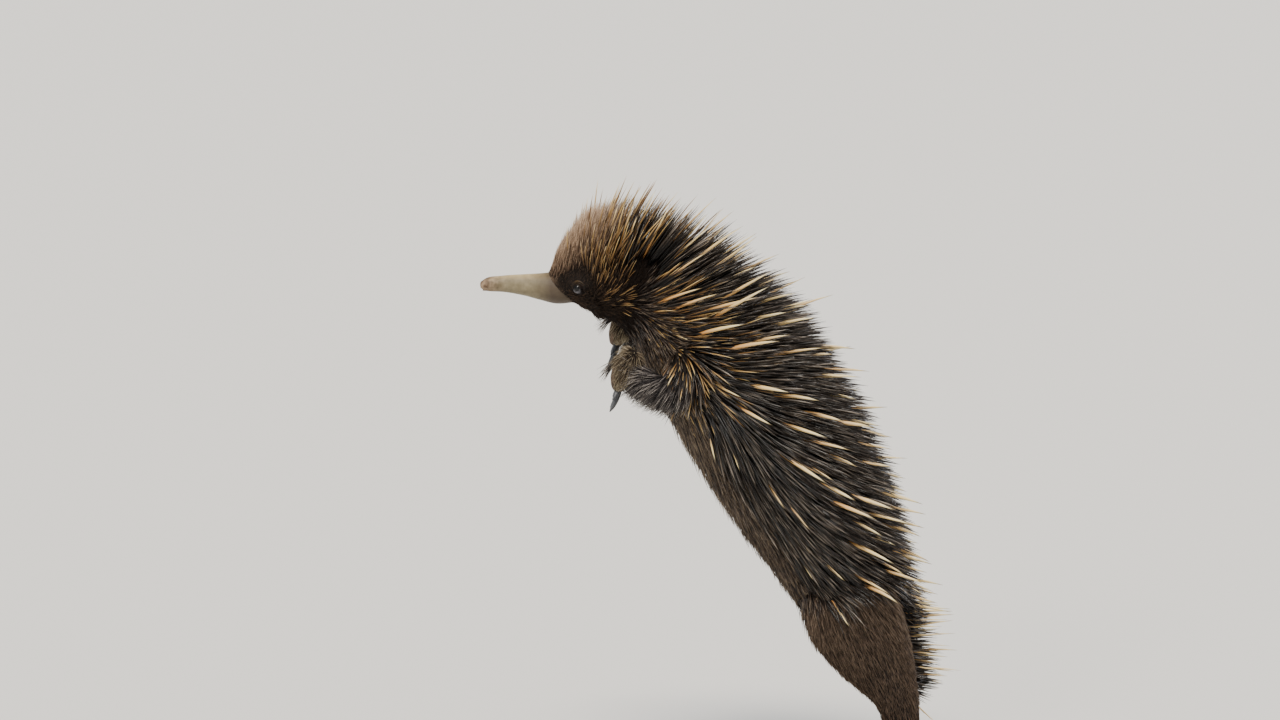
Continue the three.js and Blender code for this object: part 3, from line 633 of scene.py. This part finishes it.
SPINE_LENGTH = (10, 28, 38, 45, 52, 53, 50, 47, 44, 43, 41, 39, 37, 31)
QUILL_EDGE = (0, 20, 46, 66, 112, 122, 125, 127, 127, 125, 120, 114, 125, 150)
FLARE = 0.4  # how much the trunk's coat leans out to its sides
HANG = 0.15  # how much the limbs' hair hangs straight down
FORELEG_HANG = 1.3
LIMB_EDGE = (1.03, 1.3)  # where limbs begin and the trunk ends, from its middle and in its half sizes
FORELEGS_END = -40  # x behind which a limb is a hind one
PAW_NEARNESS = 0.75  # the share of its distance that a paw counts for, so that it keeps its own skin
FOLLOW_STEPS = 400
# In the coat's map the trunk is unrolled above, and legs and paws lie side by side in strips below it.
PATCH = 0.003  # width of a strand's own patch there
stations_held = np.arange(len(TRUNK))
lie_table = np.array(list(LIE.values()))

faces = len(skin.data.polygons)
face_middles, face_normals, face_areas = np.empty(faces * 3), np.empty(faces * 3), np.empty(faces)
skin.data.polygons.foreach_get("center", face_middles)
skin.data.polygons.foreach_get("normal", face_normals)
skin.data.polygons.foreach_get("area", face_areas)
face_middles = face_middles.reshape(-1, 3) / MM
face_normals = face_normals.reshape(-1, 3)
face_areas = face_areas / MM**2


def follow(points, stations):
    """Where points lie on a drawn-out shape: share of its length, angle round it, how far out, and way."""
    middles, onward, outward, sideways, sizes = sections(stations, FOLLOW_STEPS)
    nearest = np.argmin((middles**2).sum(1) - 2 * points @ middles.T, axis=1)
    off = points - middles[nearest]
    back = (off * outward[nearest]).sum(1) / sizes[nearest, 0]
    side = (off * sideways[nearest]).sum(1) / sizes[nearest, 1]
    share = nearest / (FOLLOW_STEPS - 1)
    return share, np.arctan2(side, back), np.hypot(back, side), onward[nearest], outward[nearest]


def smooth_step(low, high, values):
    u = np.clip((values - low) / (high - low), 0, 1)
    return u * u * (3 - 2 * u)


class Ground:
    """Points on the skin, and what the coat needs to know of each: its place among the trunk's stations,
    from 0 at the muzzle to 13 at the tail's tip, how many degrees round from the back line it lies, how far
    it belongs to a limb, a hind limb or a paw, its patch of the coat's map, and which way the coat runs."""

    def __init__(self, points, normals):
        self.points, self.normals = points, normals
        share, angle, out, self.tailward, backward = follow(points, trunk_stations)
        self.place = share * (len(TRUNK) - 1)
        self.round = np.degrees(np.abs(angle))
        lie = np.radians(self.lie())[:, None]
        flare = FLARE * np.sin(angle)[:, None] * np.array(LEFT)
        run = unit(self.tailward * np.cos(lie) + backward * np.sin(lie) + flare)
        self.patch = np.stack([0.02 + 0.96 * share, 0.67 + 0.3 * angle / math.pi], axis=1)
        self.limb, self.paw, self.hind, self.limb_along = (np.zeros(len(points)) for _ in range(4))
        weight = smooth_step(*LIMB_EDGE, out)
        best = np.full(len(points), np.inf)
        shapes = [(name, stations, 0) for name, stations in legs.items()]
        shapes += [(name, stations, 1) for name, stations in paws.items()]
        for number, (name, stations, paw) in enumerate(shapes):
            along, turn, away, way, _ = follow(points, stations)
            away = away * (PAW_NEARNESS if paw else 1)
            nearer = (away < best) & (points[:, 1] * stations[2][1] > 0) & (weight > 0)
            nearer &= (points[:, 0] < FORELEGS_END) == name.startswith("fore")
            best = np.where(nearer, away, best)
            hang = FORELEG_HANG if name.startswith("fore") and not paw else HANG
            way = unit(way + (0, 0, -hang))
            share_in = weight[:, None]
            run = np.where(nearer[:, None], unit(run * (1 - share_in) + way * share_in), run)
            self.limb = np.where(nearer, weight, self.limb)
            self.limb_along = np.where(nearer, np.maximum(along, paw), self.limb_along)
            self.paw = np.where(nearer, paw * weight, self.paw)
            self.hind = np.where(nearer, float(name.startswith("hind")), self.hind)
            strip = np.stack([0.01 + 0.12 * (number + 0.9 * along), 0.17 + 0.14 * turn / math.pi], axis=1)
            self.patch = np.where((nearer & (weight > 0.5))[:, None], strip, self.patch)
        self.run = run

    def rule(self, values):
        """A value given for the trunk's stations, at each place."""
        return np.interp(self.place, stations_held, values)

    def lie(self):
        columns = np.stack([self.rule(column) for column in lie_table.T], axis=1)
        at = np.interp(self.round, LIE_ROUNDS, np.arange(len(LIE_ROUNDS)))
        low = np.minimum(at.astype(int), len(LIE_ROUNDS) - 2)
        row = np.arange(len(low))
        return columns[row, low] * (1 - (at - low)) + columns[row, low + 1] * (at - low)


face_ground = Ground(face_middles, face_normals)


def sown(per_square_millimetre):
    """Roots scattered evenly over the skin, as dense as given for each of its faces."""
    counts = np.floor(per_square_millimetre * face_areas + rng.random(faces)).astype(int)
    chosen = np.repeat(np.arange(faces), counts)
    spread = np.sqrt(face_areas[chosen])[:, None]
    offset = (rng.random((len(chosen), 3)) - 0.5) * spread
    normals = face_normals[chosen]
    offset -= (offset * normals).sum(1, keepdims=True) * normals
    return Ground(face_middles[chosen] + offset, normals)


def varied(ground, low, high):
    """A random factor for each root."""
    return rng.uniform(low, high, len(ground.points))


def ripple(points, wavelength, phase):
    """A smooth, uneven wave over space between -1 and 1, the same on every run."""
    x, y, z = (points * 2 * math.pi / wavelength).T
    waves = (x + 1.3 * y + phase, 1.1 * z - 0.7 * y + 2 * phase, 0.8 * x - 1.2 * z + 3 * phase)
    return sum(np.sin(wave) for wave in waves) / 3


def laid(ground, lift, stray):
    """Directions along the coat's run, lifted off the skin and straying a little from hair to hair."""
    tangent = ground.run - (ground.run * ground.normals).sum(1, keepdims=True) * ground.normals
    return unit(unit(tangent) + lift * ground.normals + stray * rng.normal(size=ground.points.shape))


def strand_faces(rings, sides):
    """One strand's faces, as corners, face sizes and each corner's place across and along the strand."""
    corners = list(reversed(range(sides)))
    places = [(k / sides, 0) for k in corners]
    sizes = [sides]
    tip = rings * sides
    for ring in range(rings):
        for k in range(sides):
            low, far = ring * sides, (k + 1) % sides
            near, next_to = (k / sides, ring / rings), ((k + 1) / sides, ring / rings)
            if ring < rings - 1:
                corners += [low + k, low + far, low + sides + far, low + sides + k]
                places += [near, next_to, (next_to[0], (ring + 1) / rings), (near[0], (ring + 1) / rings)]
                sizes.append(4)
            else:
                corners += [low + k, low + far, tip]
                places += [near, next_to, (near[0] + 0.5 / sides, 1)]
                sizes.append(3)
    return np.array(corners), np.array(sizes), np.array(places)


def grown(name, ground, out, sweep, lengths, widths, shape, finish, paler=0):
    """One mesh of tapering strands. Each leaves its root along "out" and bends to end along "sweep". A shape
    is its girth at even steps, its number of sides, and how deep it is rooted."""
    girth, sides = shape["girth"], shape["sides"]
    rings, count = len(girth), len(ground.points)
    s = np.linspace(0, 1, rings + 1)[None, :, None]
    lengths, widths = (np.broadcast_to(v, count)[:, None, None] for v in (lengths, widths))
    roots = (ground.points - ground.normals * shape["sunk"])[:, None]
    path = roots + lengths * (s * out[:, None] + 0.5 * s * s * (sweep - out)[:, None])
    way = unit(out[:, None] * (1 - s) + sweep[:, None] * s)[:, :rings]
    across = unit(np.cross(way, ground.normals[:, None] + 0.01))
    above = np.cross(across, way)
    turns = 2 * np.pi * np.arange(sides)[:, None] / sides
    spokes = above[:, :, None] * np.cos(turns) + across[:, :, None] * np.sin(turns)
    rims = path[:, :rings, None] + (widths / 2 * np.array(girth)[None, :, None])[:, :, None] * spokes
    points = np.concatenate([rims.reshape(count, rings * sides, 3), path[:, rings:]], axis=1)
    per_strand = rings * sides + 1
    corners, sizes, places = strand_faces(rings, sides)
    all_sizes = np.tile(sizes, count)

    mesh = bpy.data.meshes.new(name)
    mesh.vertices.add(count * per_strand)
    mesh.vertices.foreach_set("co", (points * MM).ravel())
    mesh.loops.add(count * len(corners))
    mesh.loops.foreach_set("vertex_index", (np.arange(count)[:, None] * per_strand + corners).ravel())
    mesh.polygons.add(len(all_sizes))
    mesh.polygons.foreach_set("loop_start", np.cumsum(all_sizes) - all_sizes)
    mesh.polygons.foreach_set("use_smooth", np.ones(len(all_sizes), bool))
    patches = ground.patch[:, None] + (places[None] - 0.5) * PATCH
    mesh.uv_layers.new(name="OFBake").data.foreach_set("uv", patches.ravel())
    along = np.append(np.repeat(np.arange(rings) / rings, sides), 1.0)
    mesh.attributes.new("along", "FLOAT", "POINT").data.foreach_set("value", np.tile(along, count))
    tones = np.repeat(rng.random(count) + paler, per_strand)
    mesh.attributes.new("tone", "FLOAT", "POINT").data.foreach_set("value", tones)
    mesh.update(calc_edges=True)
    mesh.materials.append(finish)
    piece = bpy.data.objects.new(name, mesh)
    bpy.context.scene.collection.objects.link(piece)
    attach(piece, "root")


def strand_finish(name, dark, pale, turn, roughness, gloss=0.5):
    """A material for strands: two runs of colour from root to tip, and about which share of the strands has
    the first of them."""
    finish = new_material(name)
    along = add_node(finish, "Attribute", give="Fac", attribute_name="along")
    tone = add_node(finish, "Attribute", give="Fac", attribute_name="tone")
    dark_run = add_node(finish, "ValToRGB", {"Fac": along}, stops=dark)
    pale_run = add_node(finish, "ValToRGB", {"Fac": along}, stops=pale)
    share = add_node(finish, "MapRange", {"Value": tone, "From Min": turn - 0.2, "From Max": turn + 0.2})
    colour = add_node(finish, "Mix", {0: share, 6: dark_run, 7: pale_run}, give=2, data_type="RGBA")
    surface = {"Base Color": colour, "Roughness": roughness, "Specular IOR Level": gloss}
    add_node(finish, "BsdfPrincipled", surface)
    return finish


def away_from(points, target, near, far):
    """0 near a point of the left side or its mirror image, rising to 1 further off."""
    mirrored = np.abs(points) * (0, 1, 0) + points * (1, 0, 1)
    return smooth_step(near, far, np.linalg.norm(mirrored - np.array(target), axis=1))


# The dark quills make the mass of the coat on back, flanks and neck: stiff horn, about a millimetre thick and
# nearly black, with a gloss. Some are pale grey towards the tip, partly their own colour and partly painted
# highlight for glints.
dark_quill = strand_finish(
    "glossy_dark_quill",
    dark=[(0.0, "#040302"), (0.35, "#090604"), (0.7, "#150f0a"), (1.0, "#30241a")],
    # The pale run is partly the quills' own colour and partly painted highlight, standing for glints.
    pale=[(0.0, "#060403"), (0.35, "#1a120b"), (0.65, "#51473c"), (0.9, "#9d9184"), (1.0, "#5f554a")],
    turn=0.84,
    roughness=0.3,
)
QUILL = {"girth": (0.75, 1.0, 0.9, 0.55), "sides": 3, "sunk": 1.2}
QUILLS_PER_MM2 = 0.175
# The parting between cheek and shoulder, whose fur is painted black as shade: its places on the trunk at
# angles round from the back line
FURROW = {"rounds": (57, 86, 121), "places": (3.6, 3.75, 4.05), "half_width": 0.38}


def in_furrow(ground):
    """1 in the furrow behind the cheek, where the coat is short and painted black as shade, falling to 0
    round it.
    """
    off = np.abs(ground.place - np.interp(ground.round, FURROW["rounds"], FURROW["places"]))
    along = smooth_step(FURROW["half_width"] + 0.12, FURROW["half_width"] - 0.12, off)
    return along * smooth_step(40, 58, ground.round)


def spiny(ground, margin=0):
    """1 where the quills grow, falling to 0 over their edge to the belly, the legs and the face."""
    edge = ground.rule(QUILL_EDGE) + margin
    grows = smooth_step(8, -8, ground.round - edge) * smooth_step(1.6, 2.6, ground.place)
    upper_arm = (1 - ground.hind) * smooth_step(0.45, 0.25, ground.limb_along)
    return grows * (1 - ground.limb * (1 - upper_arm)) * (1 - in_furrow(ground))


def quill_length(ground, flank_share):
    share = 1 - (1 - flank_share) * np.clip((ground.round - 30) / 70, 0, 1)
    beside_leg = smooth_step(85, 112, ground.round) * smooth_step(7.2, 5.8, ground.place)
    return ground.rule(SPINE_LENGTH) * share * (1 - 0.6 * beside_leg)


def quill_ways(ground, stray, lift=0):
    """A quill's direction at its root, lifted off the skin, and at its tip, swept back and drooping."""
    waver = 0.07 * ripple(ground.points, 43, 1.0)[:, None] * ground.tailward
    rise = (ground.run * ground.normals).sum(1, keepdims=True)
    run = unit(ground.run + (np.maximum(rise, 0.1) - rise) * ground.normals)
    flatter = 1 - 0.55 * smooth_step(85, 115, ground.round)[:, None]
    out = unit(run + (0.3 + lift) * flatter * ground.normals + waver + stray * rng.normal(size=run.shape))
    droop = (0, 0, -0.1)
    sweep = unit(run + (lift - 0.14) * ground.normals + waver + droop + stray * rng.normal(size=run.shape))
    return out, sweep


for number in range(2):
    ground = sown(QUILLS_PER_MM2 / 2 * spiny(face_ground))
    out, sweep = quill_ways(ground, 0.06)
    lengths = quill_length(ground, 0.92) * varied(ground, 0.7, 1.04)
    widths = np.interp(ground.place, [2, 4, 7, 13], [0.75, 1.05, 1.4, 1.25])
    widths *= varied(ground, 0.75, 1.2)
    name = f"dark_quills_{number + 1}"
    # More quills take the pale run on the lower flank and on the crown and nape: painted glints there, partly
    # their own paler colour.
    paler = 0.14 * smooth_step(70, 100, ground.round) * smooth_step(6, 8, ground.place)
    paler += 0.12 * smooth_step(4.8, 3.8, ground.place)
    grown(name, ground, out, sweep, lengths, widths, QUILL, dark_quill, paler)

# The stout spines stand among the dark quills: straw-coloured horn up to three and a half millimetres thick,
# tan at the root and tapering to a sharp point. Others, somewhat thinner, are dark.
cream_spine = strand_finish(
    "straw_coloured_spine_horn",
    dark=[(0.0, "#3a2110"), (0.25, "#9c6a33"), (0.5, "#cfa063"), (0.88, "#e8d098"), (1.0, "#a0875f")],
    pale=[(0.0, "#4a2a14"), (0.3, "#bb8547"), (0.6, "#e3c486"), (0.9, "#f1e0ad"), (1.0, "#8c7452")],
    turn=0.5,
    roughness=0.4,
)
SPINE = {"girth": (0.62, 0.92, 1.0, 0.9, 0.58), "sides": 6, "sunk": 2.5}
DARK_SPINE = {**SPINE, "sides": 5, "sunk": 2}
# Millimetres between the spines' roots at the trunk's stations, and the spines' widths there
CREAM_SPACING = (13, 13, 13, 13, 13, 13.5, 17, 20, 21, 18, 15, 12, 7, 5.5)
CREAM_WIDTH = (1.5, 1.5, 1.6, 1.9, 2.1, 2.5, 3.0, 3.4, 3.4, 3.3, 3.1, 2.6, 1.8, 1.5)
DARK_SPACING = (8.5,) * 12 + (12, 12)
ROW_GAP = 0.87  # rows' distance apart, as a share of the spacing in them
JITTER = 0.35  # how far a root strays from its even place, as a share of the spacing


def planted(spacings, low, high, margin):
    """Roots in staggered rows across the trunk between two of its places, unevenly spaced, on the skin."""
    middles, _, outward, sideways, sizes = sections(trunk_stations, FOLLOW_STEPS)
    run = np.concatenate([[0], np.cumsum(np.linalg.norm(np.diff(middles, axis=0), axis=1))])
    places = np.linspace(0, len(TRUNK) - 1, FOLLOW_STEPS)
    at, until = np.interp([low, high], places, run)
    roots, normals, row = [], [], 0
    while at < until:
        spacing = np.interp(at, run, np.interp(places, stations_held, spacings))
        step = int(np.searchsorted(run, at))
        edge = math.radians(np.interp(places[step], stations_held, QUILL_EDGE) + margin)
        half = max(int(edge * sizes[step].mean() / spacing), 1)
        for i in range(-half, half + 1):
            turn = edge * (i + 0.5 * (row % 2) + rng.uniform(-JITTER, JITTER)) / half
            here = int(np.searchsorted(run, at + rng.uniform(-JITTER, JITTER) * spacing))
            here = min(max(here, 0), FOLLOW_STEPS - 1)
            aim = outward[here] * math.cos(turn) + sideways[here] * math.sin(turn)
            hit = skin_surface.ray_cast(Vector(middles[here] + aim * RAY_START) * MM, Vector(-aim))
            if hit[0] is not None:
                roots.append(np.array(hit[0]) / MM)
                normals.append(np.array(hit[1]))
        row += 1
        at += ROW_GAP * spacing
    planted_on = Ground(np.array(roots), np.array(normals))
    wanted = spiny(planted_on, 6) > 0.5
    return Ground(planted_on.points[wanted], planted_on.normals[wanted])


cream = planted(CREAM_SPACING, 2.2, 12.97, -18)
out, sweep = quill_ways(cream, 0.07, 0.12)
slighter = 1 - 0.38 * smooth_step(88, 106, cream.round) * smooth_step(12, 11, cream.place)
lengths = (quill_length(cream, 1.0) + 12) * varied(cream, 0.74, 1.1) * slighter
widths = cream.rule(CREAM_WIDTH) * varied(cream, 0.7, 1.12) * slighter
grown("cream_spines", cream, out, sweep, lengths, widths, SPINE, cream_spine)

stout = planted(DARK_SPACING, 3.9, 12.95, -3)
out, sweep = quill_ways(stout, 0.05)
lengths = (quill_length(stout, 0.95) + 4) * varied(stout, 0.74, 1.06)
widths = np.interp(stout.place, [4, 6, 11, 13], [1.3, 1.9, 1.9, 1.4])
widths *= varied(stout, 0.75, 1.2)
grown("dark_spines", stout, out, sweep, lengths, widths, DARK_SPINE, dark_quill)

# On the shoulders and the upper arms the quills are short, thin and golden towards their tips, and fan out
# from behind the cheek.
golden_spine = strand_finish(
    "golden_spine_horn",
    dark=[(0.0, "#100905"), (0.4, "#3a2714"), (0.8, "#7d5b30"), (1.0, "#b3925d")],
    pale=[(0.0, "#201207"), (0.3, "#6e4d26"), (0.7, "#c6a265"), (1.0, "#ecd9a8")],
    turn=0.6,
    roughness=0.4,
)
SHOULDER_QUILL = {**SPINE, "sides": 4, "sunk": 1}
ahead = smooth_step(3.7, 4.1, face_ground.place) * smooth_step(6.9, 5.8, face_ground.place)
ground = sown(0.11 * spiny(face_ground, 22) * ahead * smooth_step(55, 85, face_ground.round))
out, sweep = quill_ways(ground, 0.1)
lengths = (quill_length(ground, 0.9) + 3) * varied(ground, 0.45, 0.9)
widths = varied(ground, 0.7, 1.2)
grown("shoulder_quills", ground, out, sweep, lengths, widths, SHOULDER_QUILL, golden_spine)

# The head's fur is dense and velvety on the forehead, short and dark round the eyes and on the cheeks, and
# hides the roots of thin golden spines that stand up behind the eye.
forehead_fur = strand_finish(
    "velvety_forehead_fur",
    dark=[(0.0, "#130c08"), (0.35, "#32241b"), (0.75, "#6c5645"), (1.0, "#9c826a")],
    pale=[(0.0, "#1c130d"), (0.35, "#513c2e"), (0.75, "#a68b72"), (1.0, "#d2ba9a")],
    turn=0.52,
    roughness=0.5,
    gloss=0.3,
)
face_fur = strand_finish(
    "short_face_fur",
    dark=[(0.0, "#070403"), (0.5, "#150e0a"), (1.0, "#2a1e15")],
    pale=[(0.0, "#0f0a07"), (0.5, "#3d2e24"), (1.0, "#6f5a47")],
    turn=0.85,
    roughness=0.55,
    gloss=0.2,
)
LONG_FUR = {"girth": (0.9, 1.0, 0.6), "sides": 3, "sunk": 0.5}
SHORT_FUR = {"girth": (1.0, 0.8), "sides": 3, "sunk": 0.4}
HEAD_SPINE = {**SPINE, "sides": 5, "sunk": 1}
FUR_EDGE_ON_BEAK = {"x": -178, "z": 366, "slant": 0.35}  # further back below the beak's middle


def on_forehead(ground):
    """1 on the forehead and crown, falling to 0 towards the eyes, the cheeks and the nape."""
    over = smooth_step(80, 52, ground.round) * smooth_step(2.7, 1.8, ground.place)
    return over * smooth_step(0.0, 0.4, ground.place)


def past_beak(points):
    """How far behind the edge of the fur on the beak a point lies, in millimetres."""
    edge = FUR_EDGE_ON_BEAK
    return points[:, 0] - edge["x"] + edge["slant"] * (points[:, 2] - edge["z"])


head = smooth_step(4.5, 3.9, face_ground.place) * (1 - face_ground.limb)
furred = smooth_step(-3.5, 4.5, past_beak(face_middles))
above_eye = (EYE[0], EYE[1], EYE[2] + 1.0)
off_eye = away_from(face_middles, above_eye, 4.2, 5.6)
hollow = in_furrow(face_ground)

for number in range(2):
    ground = sown(1.1 * on_forehead(face_ground) * furred * off_eye)
    lengths = np.interp(past_beak(ground.points), [-3, 1, 6, 14, 30], [2, 8, 19, 29, 34])
    lengths *= varied(ground, 0.7, 1.0) * (0.3 + 0.7 * smooth_step(78, 42, ground.round))
    upright = unit(ground.run + 0.12 * ground.normals + 0.06 * rng.normal(size=ground.run.shape))
    swept = unit(upright + 0.14 * ground.tailward + 0.05 * rng.normal(size=ground.run.shape))
    name = f"forehead_fur_{number + 1}"
    grown(name, ground, upright, swept, lengths, 0.42, LONG_FUR, forehead_fur)

ground = sown(2.25 * head * furred * off_eye * (1 - on_forehead(face_ground)))
lengths = ground.rule((2.4, 3.4, 5, 7, 8.5) + (9,) * 9) * varied(ground, 0.7, 1.2)
lengths *= 0.65 + 0.35 * away_from(ground.points, EYE, 6, 12)
lengths += 5 * smooth_step(105, 135, ground.round) * smooth_step(0.2, 1.0, ground.place)
paler = 0.5 * smooth_step(-154, -168, ground.points[:, 0]) * smooth_step(366, 358, ground.points[:, 2])
# The fur in the furrow is made black: painted shade in the parting.
paler -= in_furrow(ground)
out, sweep = laid(ground, 0.55, 0.16), laid(ground, 0.15, 0.14)
grown("face_fur", ground, out, sweep, lengths, 0.4, SHORT_FUR, face_fur, paler)

behind_eye = smooth_step(1.5, 1.9, face_ground.place) * smooth_step(3.9, 3.2, face_ground.place)
behind_eye *= smooth_step(146, 134, face_ground.round) * (1 - face_ground.limb) * (1 - hollow)
behind_eye *= 0.3 + 0.7 * smooth_step(35, 55, face_ground.round)
over_crown = smooth_step(0.4, 1.0, face_ground.place) * smooth_step(4.9, 4.3, face_ground.place)
over_crown *= smooth_step(50, 35, face_ground.round)
clumps = smooth_step(-1.1, 0.3, ripple(face_middles, 13, 2.0))
ground = sown(0.14 * clumps * np.maximum(behind_eye, over_crown * 0.2) * away_from(face_middles, EYE, 9, 13))
lengths = ground.rule((6, 24, 44, 49, 54, 55) + (55,) * 8) * (1 - 0.74 * smooth_step(40, 108, ground.round))
lengths = lengths * varied(ground, 0.62, 1.08) + 5
upright = unit(ground.run + 0.42 * ground.normals + 0.11 * rng.normal(size=ground.run.shape))
widths = np.interp(lengths, [6, 30, 48], [0.5, 0.8, 1.3]) * varied(ground, 0.6, 1.2)
swept = unit(upright + 0.15 * ground.tailward)
paler = -0.4 * smooth_step(66, 96, ground.round)
grown("golden_spines", ground, upright, swept, lengths, widths, HEAD_SPINE, golden_spine, paler)

# The legs and belly have plain fur: short, matt and flat on the hind legs, longer under the body, and long
# with whitish tips on the forelegs. The paws have short sandy hair on their backs and bare soles.
leg_fur = strand_finish(
    "matt_brown_leg_fur",
    dark=[(0.0, "#110d0a"), (0.5, "#372b22"), (1.0, "#665546")],
    pale=[(0.0, "#1b150f"), (0.5, "#5a4a3d"), (1.0, "#a08b76")],
    turn=0.54,
    roughness=0.6,
    gloss=0.25,
)
# The belly fur's pale strands are painted highlight, standing for glints on the long dark hair.
belly_fur = strand_finish(
    "long_dark_belly_fur",
    dark=[(0.0, "#060403"), (0.5, "#1e150f"), (1.0, "#453629")],
    pale=[(0.0, "#0d0906"), (0.5, "#43352a"), (1.0, "#a8957e")],
    turn=0.62,
    roughness=0.36,
)
foreleg_fur = strand_finish(
    "pale_tipped_foreleg_fur",
    dark=[(0.0, "#080606"), (0.5, "#191414"), (1.0, "#3d3534")],
    pale=[(0.0, "#110e0d"), (0.35, "#4a423f"), (0.7, "#a49b94"), (1.0, "#e0d9cf")],
    turn=0.78,
    roughness=0.4,
)
paw_fur = strand_finish(
    "sandy_paw_fur",
    dark=[(0.0, "#1a130e"), (0.5, "#43372b"), (1.0, "#7b6d58")],
    pale=[(0.0, "#2c231a"), (0.5, "#81735d"), (1.0, "#cabda1")],
    turn=0.4,
    roughness=0.6,
    gloss=0.25,
)
plain = (1 - spiny(face_ground)) * (1 - head)
on_hind_leg = plain * face_ground.limb * face_ground.hind * (1 - face_ground.paw)
on_foreleg = plain * face_ground.limb * (1 - face_ground.hind) * (1 - face_ground.paw)
shoulder = smooth_step(50, 65, face_ground.round) * smooth_step(6.4, 5.8, face_ground.place)
on_belly = np.maximum(plain, 0.7 * shoulder) * (1 - face_ground.limb)
on_belly *= smooth_step(3.6, 4.2, face_ground.place)
toe_tips = np.array([tip for roots in claw_roots.values() for tip, _, _ in roots])


def off_toes(points):
    """Distance of each point from the nearest claw's root, in millimetres."""
    return np.sqrt(((points[:, None] - toe_tips[None]) ** 2).sum(2).min(1))


def on_paw_back(ground):
    """1 on the haired sides of the paws, falling to 0 on palms, soles and the ends of the toes."""
    off_palm = smooth_step(-0.85, -0.5, ground.normals[:, 0])
    off_sole = smooth_step(-0.35, 0.1, ground.normals[:, 2])
    haired = np.where(ground.hind > 0.5, off_sole, off_palm)
    return ground.paw * haired * smooth_step(2.5, 5.5, off_toes(ground.points))


LEG_TUFT = {**SHORT_FUR, "sunk": 0.5}
ground = sown(0.55 * on_hind_leg)
lengths = (7 + 7 * smooth_step(0.5, 0.0, ground.limb_along)) * varied(ground, 0.7, 1.2)
out, sweep = laid(ground, 0.35, 0.12), laid(ground, 0.1, 0.12)
grown("hind_leg_fur", ground, out, sweep, lengths, 0.75, LEG_TUFT, leg_fur)

ground = sown(0.36 * on_belly)
flank = smooth_step(5.5, 6.5, ground.place) * smooth_step(9.5, 8.5, ground.place)
lengths = (17 + 8 * flank) * varied(ground, 0.65, 1.15)
out, sweep = laid(ground, 0.5, 0.1), laid(ground, 0.12, 0.1)
below_arm = smooth_step(4.6, 5.6, ground.place) * smooth_step(8.2, 6.6, ground.place)
# More belly fur below the arm takes the pale run: painted glints there.
paler = 0.16 * below_arm * smooth_step(95, 110, ground.round)
grown("belly_fur", ground, out, sweep, lengths, 0.8, LONG_FUR, belly_fur, paler)

ground = sown(0.95 * on_foreleg)
lengths = 19 * varied(ground, 0.6, 1.1)
out, sweep = laid(ground, 0.45, 0.12), laid(ground, 0.1, 0.12)
paler = 0.25 * smooth_step(0.6, 0.95, ground.limb_along)
grown("foreleg_fur", ground, out, sweep, lengths, 0.55, LONG_FUR, foreleg_fur, paler)

ground = sown(1.3 * on_paw_back(face_ground))
off = off_toes(ground.points)
lengths = (2.2 + (3.3 + 3 * (1 - ground.hind)) * smooth_step(4, 14, off)) * varied(ground, 0.7, 1.2)
paler = 0.3 * smooth_step(15, 5, off) - 0.25 * smooth_step(8, 20, off)
out, sweep = laid(ground, 0.35, 0.12), laid(ground, 0.1, 0.12)
grown("paw_fur", ground, out, sweep, lengths, 0.45, SHORT_FUR, paw_fur, paler)

points, normals = np.empty((2, len(skin.data.vertices) * 3))
skin.data.vertices.foreach_get("co", points)
skin.data.vertices.foreach_get("normal", normals)
ground = Ground(points.reshape(-1, 3) / MM, normals.reshape(-1, 3))
bare_share = np.maximum(smooth_step(9, 0, past_beak(ground.points)), ground.paw * (1 - on_paw_back(ground)))
skin.data.attributes.new("bare", "FLOAT", "POINT").data.foreach_set("value", bare_share)

# The display board is solid hardwood, stained dark and finished with satin varnish, its edges bevelled.
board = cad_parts["stand_base"]
wood = new_material("dark_stained_oak_satin_varnish")
# Stained oak keeps its open grain: dark pores about a millimetre apart run along the board, in bands.
position = add_node(wood, "TexCoord", give="Object")
lengthwise = add_node(wood, "Mapping", {"Vector": position, "Scale": (0.06, 1, 1)})
pores = add_node(wood, "TexNoise", {"Vector": lengthwise, "Scale": 900, "Detail": 5})
bands = add_node(wood, "TexNoise", {"Vector": lengthwise, "Scale": 70, "Detail": 3, "Distortion": 0.6})
grain = add_node(wood, "Mix", {0: 0.45, 6: pores, 7: bands}, give=2, data_type="RGBA")
wood_stops = [(0.35, "#1d120b"), (0.5, "#3a2617"), (0.68, "#5a3d26")]
wood_tone = add_node(wood, "ValToRGB", {"Fac": grain}, stops=wood_stops)
relief = add_node(wood, "Bump", {"Height": pores, "Strength": 0.25, "Distance": 0.0003})
add_node(wood, "BsdfPrincipled", {"Base Color": wood_tone, "Roughness": 0.38, "Normal": relief})
for slot in board.material_slots:
    slot.material = wood
